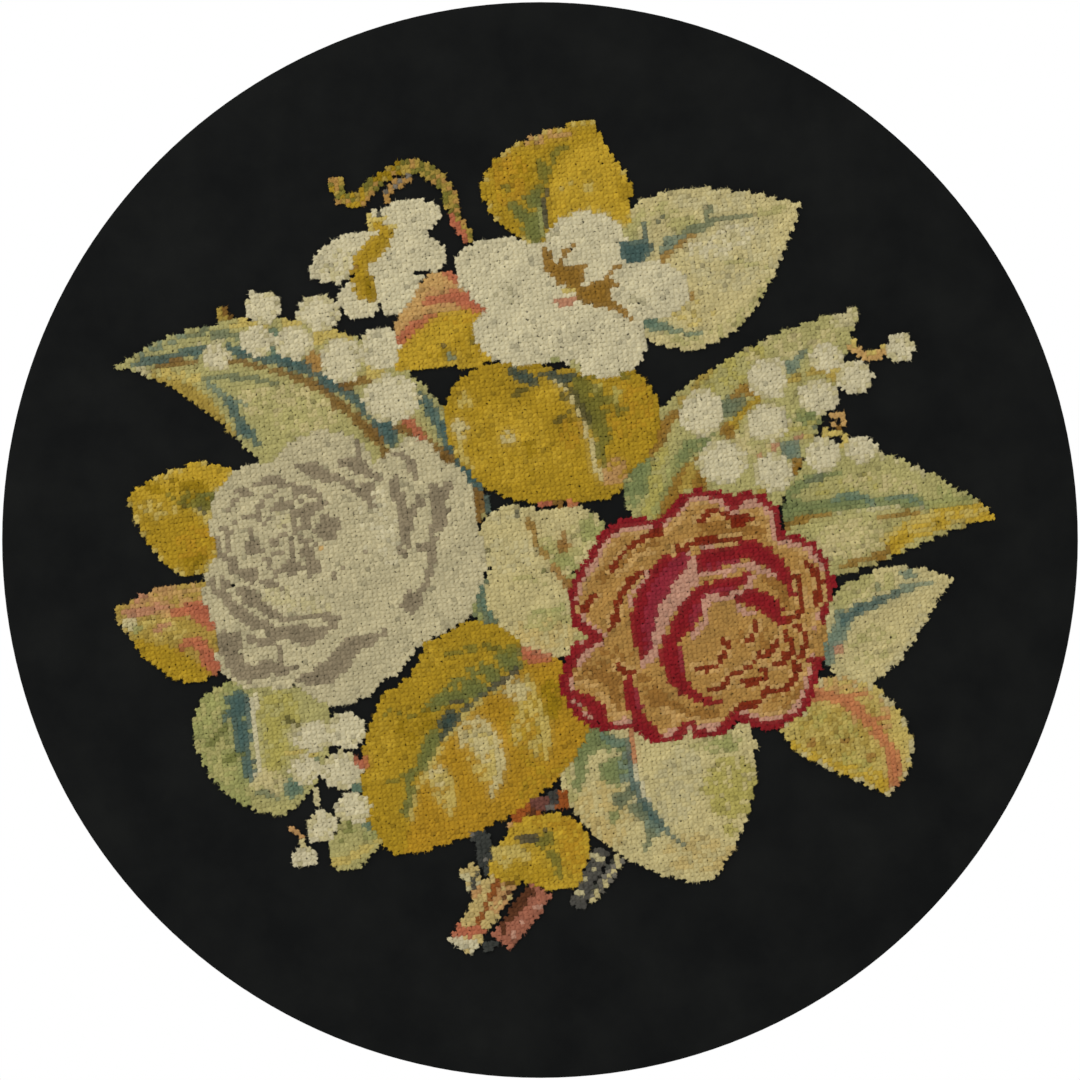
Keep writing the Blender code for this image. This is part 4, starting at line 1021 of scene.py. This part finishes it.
# %% Small sprigs without a solid of their own
SPRIGS = [
    # Beside the bells on the left
    Line("old_gold", [(-126, 91, 1.8), (-125, 87.4, 2.4), (-121.6, 84.6, 2.2)]),
    Line("brown", [(-123.6, 90.6, 1.5), (-121.2, 86.8, 1.5)]),
    Patch("ivory", -112.4, 96.4, 2, 1.4, 30),
    # Curls beside the bells on the right
    Line("tan_light", [(113.8, 44.6, 1.8), (113.6, 47.4, 1.8), (116, 49.4, 1.8), (118.6, 47.6, 1.8),
        (117.8, 45, 1.5)]),
    Line("straw", [(111.4, 42, 2.2), (117, 41.6, 2), (119.4, 39.4, 2), (118, 37.2, 1.8)]),
    Patch("brown", 117, 43.6, 1.2, 1),
    # Under the bells at the lower left
    Line("cream", [(-87, -97.6, 1.7), (-87.2, -103.4, 2)]),
    Line("peach", [(-97, -112.8, 2.6), (-94.4, -114.4, 2), (-91.6, -116.4, 2)]),
    Line("cream_yellow", [(-93.4, -117, 2), (-92.4, -120.4, 1.8)]),
    Patch("ivory", -87.4, -116.8, 1.8, 1.4),
    Patch("teal_light", -71, -97, 3, 2),
    # Between the middle leaves, and between the pale rose and the leaf below it
    Patch("coral", 2, 14.5, 2, 1.4),
    Patch("brown", 6.5, 14.5, 2.4, 1.4),
    Patch("peach_deep", 12, 14, 2.4, 1.6),
    Patch("rust", -47, -39.4, 1.8, 1.4),
    Line("coral", [(-44.6, -37.8, 1.8), (-38, -36.4, 1.8)]),
    Patch("charcoal", -19.7, -157.8, 2.6, 2),
]
print(len(SPRIGS), "marks for small sprigs")

# %% Every motif's drawing
for name in MOTIFS:
    DRAWINGS.setdefault(name, BELL)
print(sum(len(DRAWINGS[name].marks) for name in MOTIFS), "marks on", len(MOTIFS), "motifs")

# %% [markdown]
# ## From drawing to wool
#
# Here every crossing gets its shade. A mark's edge is shifted by a fraction of a millimetre for
# each stitch, because a worker never keeps to a drawn line exactly. The sprigs take only stitches
# that no motif has.
#
# A real bouquet has far more shades than this list, above all in its leaves. So a stitch takes
# some of its colour from the stitches near it in the same motif, a leaf's more than a flower's.
# Then each stitch becomes a little lighter or darker: hand-dyed wool differs from hank to hank
# and old wool fades unevenly. A few stitches are made much darker as painted shade, for the dark
# gaps between the crosses where the black cloth shows through.

# %% Shade of each stitch
CURVE_STEPS = 6
EDGE_WAVER = 0.25
STEADY_HALF_WIDTH = 0.8
BLEND_REACH = 1.4
LEAF_BLEND = 0.45
OTHER_BLEND = 0.15
STITCH_SPREAD = 0.05
FADING_SPREAD = 0.045
FADING_LENGTHS = (22, 6)
WAVE_LENGTHS = (0.7, 1.5)
# DARK_STITCHES and DARK_LEVEL: how many stitches are painted darker as the shade of the gaps between
# crosses, and how dark
DARK_STITCHES = 0.03
DARK_LEVEL = 0.72
LEG_SPREAD = 0.03
FIBRE_SPREAD = 0.06


def smooth_curve(points):
    """Points along a smooth curve that passes through the drawn ones."""
    first = 2 * points[0] - points[1]
    last = 2 * points[-1] - points[-2]
    drawn = np.vstack([first, points, last])
    share = np.linspace(0, 1, CURVE_STEPS, endpoint=False)[:, None]
    pieces = []
    for before, start, end, after in zip(drawn, drawn[1:], drawn[2:], drawn[3:]):
        linear_part = share * (end - before)
        square_part = share ** 2 * (2 * before - 5 * start + 4 * end - after)
        cubic_part = share ** 3 * (3 * (start - end) + after - before)
        pieces.append(start + (linear_part + square_part + cubic_part) / 2)
    return np.vstack(pieces + [points[-1:]])


def under_mark(mark, places, depth):
    """Which of the stitches lie under a mark."""
    waver = chance.normal(0, EDGE_WAVER, len(places))
    taken = chance.random(len(places)) < mark.share
    if isinstance(mark, Rim):
        return taken & (-depth < mark.width + waver)
    if isinstance(mark, Patch):
        tilt = math.radians(mark.tilt)
        offset = places - (mark.x, mark.y)
        across = offset @ (math.cos(tilt), math.sin(tilt)) / mark.half_width
        upward = offset @ (-math.sin(tilt), math.cos(tilt)) / mark.half_height
        slack = waver / min(mark.half_width, mark.half_height)
        return taken & (np.hypot(across, upward) < 1 + slack)
    drawn = np.array(mark.points, float)
    curve = smooth_curve(drawn[:, :2])
    edges = np.stack([curve[:-1], curve[1:]], axis=1)
    distance, nearest, share = distance_to_edges(places, edges)
    if isinstance(mark, Line):
        half_width = np.interp(nearest + share, np.arange(len(drawn)) * CURVE_STEPS, drawn[:, 2]) / 2
        return taken & (distance < half_width + waver * np.clip(half_width - STEADY_HALF_WIDTH, 0, 1))
    run = edges[nearest, 1] - edges[nearest, 0]
    offset = places - edges[nearest, 0]
    return taken & (run[:, 0] * offset[:, 1] - run[:, 1] * offset[:, 0] > 0)


def slow_waves(places, length, count=5):
    """A smooth uneven field between about -1 and 1, its waves about length long."""
    field = np.zeros(len(places))
    for _ in range(count):
        angle, phase = chance.uniform(0, 2 * math.pi, 2)
        wave = 2 * math.pi / (length * chance.uniform(*WAVE_LENGTHS))
        field += np.sin(wave * places @ (math.cos(angle), math.sin(angle)) + phase)
    return field / math.sqrt(count)


def mean_of_near(places, colours):
    """The mean colour round each stitch, where near stitches count most."""
    gaps = np.linalg.norm(places[:, None] - places[None], axis=2)
    weight = np.exp(-0.5 * (gaps / BLEND_REACH) ** 2)
    return weight @ colours / weight.sum(1, keepdims=True)


SHADE_NAMES = list(SHADES)
WOOL = np.array([linear(colour) for colour in SHADES.values()])
shade = np.zeros(len(crossings), int)
for number, name in enumerate(MOTIFS):
    drawing = DRAWINGS[name]
    mine = np.flatnonzero(owner == number)
    shade[mine] = SHADE_NAMES.index(drawing.ground)
    for mark in drawing.marks:
        hit = mine[under_mark(mark, crossings[mine], edge_depth[mine])]
        if mark.shade == BARE:
            owner[hit] = -1
        else:
            shade[hit] = SHADE_NAMES.index(mark.shade)

SPRIG_OWNER = len(MOTIFS)
for mark in SPRIGS:
    loose = np.flatnonzero(owner < 0)
    hit = loose[under_mark(mark, crossings[loose], edge_depth[loose])]
    owner[hit] = SPRIG_OWNER
    edge_depth[hit] = 0
    shade[hit] = SHADE_NAMES.index(mark.shade)

stitch_colour = WOOL[shade]
for number, name in enumerate(MOTIFS):
    mine = np.flatnonzero(owner == number)
    amount = LEAF_BLEND if name.startswith("leaf") else OTHER_BLEND
    near = mean_of_near(crossings[mine], stitch_colour[mine])
    stitch_colour[mine] += amount * (near - stitch_colour[mine])
brightness = 1 + chance.normal(0, STITCH_SPREAD, len(crossings))
for length in FADING_LENGTHS:
    brightness += FADING_SPREAD * slow_waves(crossings, length)
# A few stitches much darker: painted shade for the dark gaps between the crosses
brightness[chance.random(len(crossings)) < DARK_STITCHES] *= DARK_LEVEL
stitch_colour *= brightness[:, None]
used = Counter(SHADE_NAMES[index] for index in shade[owner >= 0])
print("most used shades:", used.most_common(6))

# %% [markdown]
# ## The wool
#
# The stitches are worked in a soft two-ply worsted wool. It is matt, with a faint halo where the
# light grazes its fibres, so the material is a rough Principled BSDF with some sheen. Its colour
# comes from an attribute of the mesh, one value a stitch leg. A fine noise in the bump stands for
# the fibres.

# %% Material helpers
def node(tree, kind, settings=None, inputs=None):
    """Add a shader node, set it up and link or fill its inputs."""
    added = tree.nodes.new(kind)
    for name, value in (settings or {}).items():
        setattr(added, name, value)
    for name, value in (inputs or {}).items():
        if isinstance(value, bpy.types.NodeSocket):
            tree.links.new(value, added.inputs[name])
        else:
            added.inputs[name].default_value = value
    return added


def new_material(name):
    """A material with an empty tree."""
    material = bpy.data.materials.new(name)
    material.use_nodes = True
    material.node_tree.nodes.clear()
    return material, material.node_tree


def rgba(hex_colour):
    """A linear colour that is fully opaque."""
    return (*linear(hex_colour), 1)


# %% Wool of the stitches
FIBRE_NOISE = 2500.0


def wool_material(name):
    """Soft, matt wool in the colour of each stitch leg."""
    material, tree = new_material(name)
    colour = node(tree, "ShaderNodeAttribute", {"attribute_name": "wool_colour"})
    places = node(tree, "ShaderNodeTexCoord")
    fibres = node(tree, "ShaderNodeTexNoise", {"noise_dimensions": "3D"},
                  {"Vector": places.outputs["Object"], "Scale": FIBRE_NOISE, "Detail": 2.0,
                   "Roughness": 0.6})
    bump = node(tree, "ShaderNodeBump", None,
                {"Height": fibres.outputs["Fac"], "Strength": 0.5, "Distance": 0.0001})
    surface = node(tree, "ShaderNodeBsdfPrincipled", None,
                   {"Base Color": colour.outputs["Color"], "Roughness": 0.92,
                    "Specular IOR Level": 0.1, "Sheen Weight": 0.06, "Sheen Roughness": 0.5,
                    "Normal": bump.outputs["Normal"]})
    node(tree, "ShaderNodeOutputMaterial", None, {"Surface": surface.outputs["BSDF"]})
    return material


WOOL_MATERIAL = wool_material("embroidery_wool")
print("wool material with", len(WOOL_MATERIAL.node_tree.nodes), "nodes")

# %% [markdown]
# ## Working the crosses
#
# A cross stitch is two short legs of yarn over one square of the canvas: first the one that falls
# to the right, then the one that rises to the right over it. Each leg is an arch, low where the
# needle pulled it down through the cloth and full in the middle. All crosses of a motif are one
# mesh, because they were worked as one field and a rose has well over two thousand of them.
#
# The table below is one leg: a ring at each end and two between them. A ring has a place along the
# leg, a width and a height, as shares of the leg's length, full width and rise to its crest.
#
# Rubbed wool sheds fibres, so short stray ones lie over the stitches, more of them at a motif's
# edge, where they soften its outline.

# %% One leg of a cross
Ring = namedtuple("Ring", "share width height")
LEG_RINGS = (Ring(0, 0.85, 0), Ring(0.28, 1, 1), Ring(0.72, 1, 1), Ring(1, 0.85, 0))
ACROSS = np.array([-1, -0.5, 0.5, 1])
CAP_DROP = np.array([0.36, 0, 0, 0.36])
HALF_WIDTH = 0.63
ROOT_HEIGHT = 0.72
UNDER_CREST = 1.12
UPPER_CREST = 1.30
FULLNESS = (0.86, 1.14)
LIFT = (0.88, 1.08)
PULL = 0.19
TWIST = 0.14
FIBRES_INSIDE = 4
FIBRES_AT_EDGE = 12
EDGE_REACH = 1.2
FIBRE_SCATTER = 0.9
FIBRE_WIDTH = 0.16
FIBRE_TAPER = 0.4
FIBRE_LENGTH = (0.7, 1.5)
FIBRE_ROOT_HEIGHT = (0.9, 1.25)
FIBRE_TIP_HEIGHT = (1.2, 1.6)


def leg_points(start, end, crest):
    """The points of many legs, as legs x rings x points across x 3, in millimetres."""
    count = len(start)
    run = end - start
    sideways = np.stack([-run[:, 1], run[:, 0]], axis=1)
    sideways /= np.linalg.norm(sideways, axis=1)[:, None]
    fullness = chance.uniform(*FULLNESS, count)
    lift = chance.uniform(*LIFT, count)
    lean = chance.normal(0, TWIST, count)
    points = np.zeros((count, len(LEG_RINGS), len(ACROSS), 3))
    for index, ring in enumerate(LEG_RINGS):
        centre = start + ring.share * run
        reach = HALF_WIDTH * ring.width * fullness
        offset = reach[:, None] * ACROSS + lean[:, None] * (ring.height > 0)
        points[:, index, :, :2] = centre[:, None] + offset[..., None] * sideways[:, None]
        height = ROOT_HEIGHT + (crest * lift - ROOT_HEIGHT) * ring.height
        points[:, index, :, 2] = height[:, None] - CAP_DROP
    return points


def crosses(places):
    """The under and upper legs of the crosses at these places."""
    half_along = ALONG_ROW * STITCH_LENGTH / 2
    half_up = UP_COLUMN * ROW_PITCH / 2
    ends = []
    for side, rise in ((-1, 1), (1, -1), (-1, -1), (1, 1)):
        corner = places + side * half_along + rise * half_up
        ends.append(corner + chance.normal(0, PULL, corner.shape))
    under = leg_points(ends[0], ends[1], UNDER_CREST)
    upper = leg_points(ends[2], ends[3], UPPER_CREST)
    return np.concatenate([under, upper])


def stray_fibres(roots):
    """Short flat fibres that lie over the stitches, as fibres x 2 ends x 2 edges x 3."""
    count = len(roots)
    roots = roots + chance.uniform(-1, 1, (count, 2)) * FIBRE_SCATTER
    angle = chance.uniform(0, 2 * math.pi, count)
    along = np.stack([np.cos(angle), np.sin(angle)], axis=1)
    across = np.stack([-along[:, 1], along[:, 0]], axis=1) * FIBRE_WIDTH / 2
    along *= chance.uniform(*FIBRE_LENGTH, count)[:, None]
    points = np.zeros((count, 2, 2, 3))
    for end, taper in ((0, 1), (1, FIBRE_TAPER)):
        for edge, side in ((0, -1), (1, 1)):
            points[:, end, edge, :2] = roots + end * along + side * taper * across
    points[:, 0, :, 2] = chance.uniform(*FIBRE_ROOT_HEIGHT, count)[:, None]
    points[:, 1, :, 2] = chance.uniform(*FIBRE_TIP_HEIGHT, count)[:, None]
    return points


def strip_faces(count, rings, across):
    """The faces of that many strips, each of rings of points."""
    first = np.arange(rings * across).reshape(rings, across)
    quads = np.stack([first[:-1, :-1], first[:-1, 1:], first[1:, 1:], first[1:, :-1]], axis=-1)
    quads = quads.reshape(-1, 4)[:, ::-1]
    return (np.arange(count)[:, None, None] * rings * across + quads).reshape(-1, 4)


def mesh_of(name, points, faces, colours, material):
    """A smooth mesh from arrays of points, faces and a colour for each point."""
    mesh = bpy.data.meshes.new(name)
    mesh.vertices.add(len(points))
    mesh.vertices.foreach_set("co", points.ravel())
    mesh.loops.add(faces.size)
    mesh.loops.foreach_set("vertex_index", faces.ravel())
    mesh.polygons.add(len(faces))
    mesh.polygons.foreach_set("loop_start", np.arange(len(faces)) * faces.shape[1])
    mesh.update(calc_edges=True)
    mesh.polygons.foreach_set("use_smooth", np.ones(len(faces), bool))
    colour = mesh.attributes.new("wool_colour", "FLOAT_COLOR", "POINT")
    colour.data.foreach_set("color", np.column_stack([colours, np.ones(len(colours))]).ravel())
    layer = mesh.uv_layers.new(name="OFBake")
    spread = points[faces.ravel(), :2]
    spread = (spread - spread.min(0)) / np.ptp(spread, axis=0).max()
    layer.data.foreach_set("uv", spread.ravel())
    mesh.materials.append(material)
    piece = bpy.data.objects.new(name, mesh)
    bpy.context.collection.objects.link(piece)
    return piece


def stitched_piece(name, mine):
    """One mesh of all crosses at the picked crossings, on the cloth."""
    places, colours = crossings[mine], stitch_colour[mine]
    fibres = np.where(edge_depth[mine] > -EDGE_REACH, FIBRES_AT_EDGE, FIBRES_INSIDE)
    fibre_of = np.repeat(np.arange(len(places)), fibres)
    parts = ((crosses(places), np.tile(colours, (2, 1)), LEG_SPREAD),
             (stray_fibres(places[fibre_of]), colours[fibre_of], FIBRE_SPREAD))
    points, faces, shades = [], [], []
    first = 0
    for strips, strip_colours, spread in parts:
        count, rings, across = strips.shape[:3]
        faces.append(first + strip_faces(count, rings, across))
        points.append(strips.reshape(-1, 3))
        uneven = np.clip(strip_colours * (1 + chance.normal(0, spread, (count, 1))), 0, 1)
        shades.append(np.repeat(uneven, rings * across, axis=0))
        first += count * rings * across
    points = np.concatenate(points) * MM
    points[:, 2] += CLOTH_TOP
    return mesh_of(name, points, np.concatenate(faces), np.concatenate(shades), WOOL_MATERIAL)


# %% All the motifs
stitched = []
for number, name in enumerate(MOTIFS):
    piece = stitched_piece(f"wool_{name}", owner == number)
    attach(piece, "root")
    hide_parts(name)
    stitched.append(piece)
sprigs = stitched_piece("wool_small_sprigs", owner == SPRIG_OWNER)
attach(sprigs, "root")
stitched.append(sprigs)
triangles = {piece.name: 2 * len(piece.data.polygons) for piece in stitched}
largest = max(triangles, key=triangles.get)
print(f"{len(stitched)} stitched pieces, {sum(triangles.values()):,} triangles,",
      f"{triangles[largest]:,} of them in {largest}")

# %% [markdown]
# ## The black cloth
#
# Broadcloth is wool too, woven, fulled until its weave closes and then brushed and shorn. What
# shows is a short, even nap with no threads: a very dark, quite matt surface, a little worn and
# dusty in places. The disc is turned from a half section whose outer edge is slightly rounded,
# and a slow, shallow unevenness keeps it from being a machined plate.

# %% Cloth
CLOTH_THICKNESS = (cloth_high.z - cloth_low.z) / MM
EDGE_ROUND = 0.5
CORNER_CUT = 0.3
ROUND_STEPS = 192
MERGE_REACH = 0.0001
RIPPLE = 0.16
RIPPLE_LENGTH = 60
STILL_EDGE = 3
TOP_SLACK = 0.1
RADII = (0, 12, 30, 50, 70, 90, 110, 130, 150, 170, 185, 198, 206)


def cloth_section():
    """The half section of the disc from its top middle round the edge to its bottom middle."""
    radius = CLOTH_RADIUS / MM
    top, bottom = CLOTH_TOP / MM, CLOTH_TOP / MM - CLOTH_THICKNESS
    upper = [(distance, top) for distance in RADII]
    edge = [(radius - EDGE_ROUND, top),
            (radius - EDGE_ROUND * CORNER_CUT, top - EDGE_ROUND * CORNER_CUT),
            (radius, top - EDGE_ROUND), (radius, bottom + EDGE_ROUND),
            (radius - EDGE_ROUND, bottom)]
    lower = [(distance, bottom) for distance in reversed(RADII)]
    return [(x * MM, 0, z * MM) for x, z in upper + edge + lower]


def ground_cloth(material):
    """The disc, turned from its half section, with shallow hollows in its upper face."""
    section = cloth_section()
    mesh = bpy.data.meshes.new("broadcloth")
    mesh.from_pydata(section, [(start, start + 1) for start in range(len(section) - 1)], [])
    cloth = bpy.data.objects.new("broadcloth", mesh)
    bpy.context.collection.objects.link(cloth)
    turn = cloth.modifiers.new("turn", "SCREW")
    turn.steps = turn.render_steps = ROUND_STEPS
    turn.use_merge_vertices = True
    turn.merge_threshold = MERGE_REACH
    turn.use_smooth_shade = True
    turned = cloth.evaluated_get(bpy.context.evaluated_depsgraph_get())
    finished = bpy.data.meshes.new_from_object(turned)
    cloth.modifiers.clear()
    cloth.data = finished
    bpy.data.meshes.remove(mesh)
    points = np.empty(3 * len(finished.vertices))
    finished.vertices.foreach_get("co", points)
    points = points.reshape(-1, 3)
    inside = np.hypot(points[:, 0], points[:, 1]) < CLOTH_RADIUS - STILL_EDGE * MM
    upper = inside & (points[:, 2] > CLOTH_TOP - TOP_SLACK * MM)
    sag = np.clip(slow_waves(points[upper, :2] / MM, RIPPLE_LENGTH), -1, 0)
    points[upper, 2] += RIPPLE * MM * sag
    finished.vertices.foreach_set("co", points.ravel())
    finished.materials.append(material)
    finished.update()
    return cloth


def felt_material():
    """Black fulled wool: a fine nap and large, faint worn places. Inputs 6 and 7 of the mixing
    node are its two colours."""
    material, tree = new_material("black_broadcloth")
    places = node(tree, "ShaderNodeTexCoord")
    where = places.outputs["Object"]
    worn = node(tree, "ShaderNodeTexNoise", None,
                {"Vector": where, "Scale": 30.0, "Detail": 4.0, "Roughness": 0.6})
    nap = node(tree, "ShaderNodeTexNoise", None,
               {"Vector": where, "Scale": 1200.0, "Detail": 3.0, "Roughness": 0.7})
    share = node(tree, "ShaderNodeMapRange", None,
                 {"Value": worn.outputs["Fac"], "From Min": 0.35, "From Max": 0.7})
    base = node(tree, "ShaderNodeMix", {"data_type": "RGBA"},
                {"Factor": share.outputs["Result"], 6: rgba(CLOTH_BLACK), 7: rgba(CLOTH_WORN)})
    bump = node(tree, "ShaderNodeBump", None,
                {"Height": nap.outputs["Fac"], "Strength": 0.35, "Distance": 0.0002})
    surface = node(tree, "ShaderNodeBsdfPrincipled", None,
                   {"Base Color": base.outputs[2], "Roughness": 0.95,
                    "Specular IOR Level": 0.05, "Normal": bump.outputs["Normal"]})
    node(tree, "ShaderNodeOutputMaterial", None, {"Surface": surface.outputs["BSDF"]})
    return material


cloth = ground_cloth(felt_material())
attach(cloth, "root")
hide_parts("ground_cloth")
print("cloth of", len(cloth.data.polygons), "faces")

# %% [markdown]
# ## Table, light and camera
#
# The panel was photographed flat, from straight above, on pure white with no shadow. So the floor
# is a plane that shines white by itself. Soft light comes from everywhere, with a little more from
# the upper left, which gives each stitch a lit and a shaded side.

# %% Floor, light and camera
CAMERA_HEIGHT = 0.995
LENS = 85
SENSOR = 36
FLOOR_SIZE = 6
FLOOR_DROP = 0.0005
SOFT_LIGHT = 0.78
LAMP_WATTS = 7
LAMP_SIZE = 0.5
LAMP_PLACE = (-0.75, 0.75, 1.1)


def white_floor():
    """A plane just under the panel that shines white by itself."""
    bpy.ops.mesh.primitive_plane_add(size=FLOOR_SIZE, location=(0, 0, -FLOOR_DROP))
    floor = bpy.context.object
    floor.name = "white_table"
    material, tree = new_material("white_table")
    glow = node(tree, "ShaderNodeEmission", None, {"Color": (1, 1, 1, 1), "Strength": 1.0})
    node(tree, "ShaderNodeOutputMaterial", None, {"Surface": glow.outputs["Emission"]})
    floor.data.materials.append(material)


def soft_world():
    """Even white light from all round."""
    world = bpy.data.worlds.new("soft_white")
    world.use_nodes = True
    tree = world.node_tree
    tree.nodes.clear()
    light = node(tree, "ShaderNodeBackground", None,
                 {"Color": (1, 1, 1, 1), "Strength": SOFT_LIGHT})
    node(tree, "ShaderNodeOutputWorld", None, {"Surface": light.outputs["Background"]})
    bpy.context.scene.world = world


def lamp_from_upper_left():
    """A round soft lamp that looks at the middle of the panel."""
    data = bpy.data.lights.new("window_side", "AREA")
    data.shape = "DISK"
    data.size = LAMP_SIZE
    data.energy = LAMP_WATTS
    lamp = bpy.data.objects.new("window_side", data)
    lamp.location = LAMP_PLACE
    lamp.rotation_euler = (-lamp.location).to_track_quat("-Z", "Y").to_euler()
    bpy.context.collection.objects.link(lamp)


def camera_above():
    """A camera straight above the middle, looking down."""
    data = bpy.data.cameras.new("above")
    data.lens = LENS
    data.sensor_width = SENSOR
    camera = bpy.data.objects.new("above", data)
    camera.location = (0, 0, CLOTH_TOP + CAMERA_HEIGHT)
    bpy.context.collection.objects.link(camera)
    bpy.context.scene.camera = camera


white_floor()
soft_world()
lamp_from_upper_left()
camera_above()
bpy.context.scene.view_settings.view_transform = "Standard"
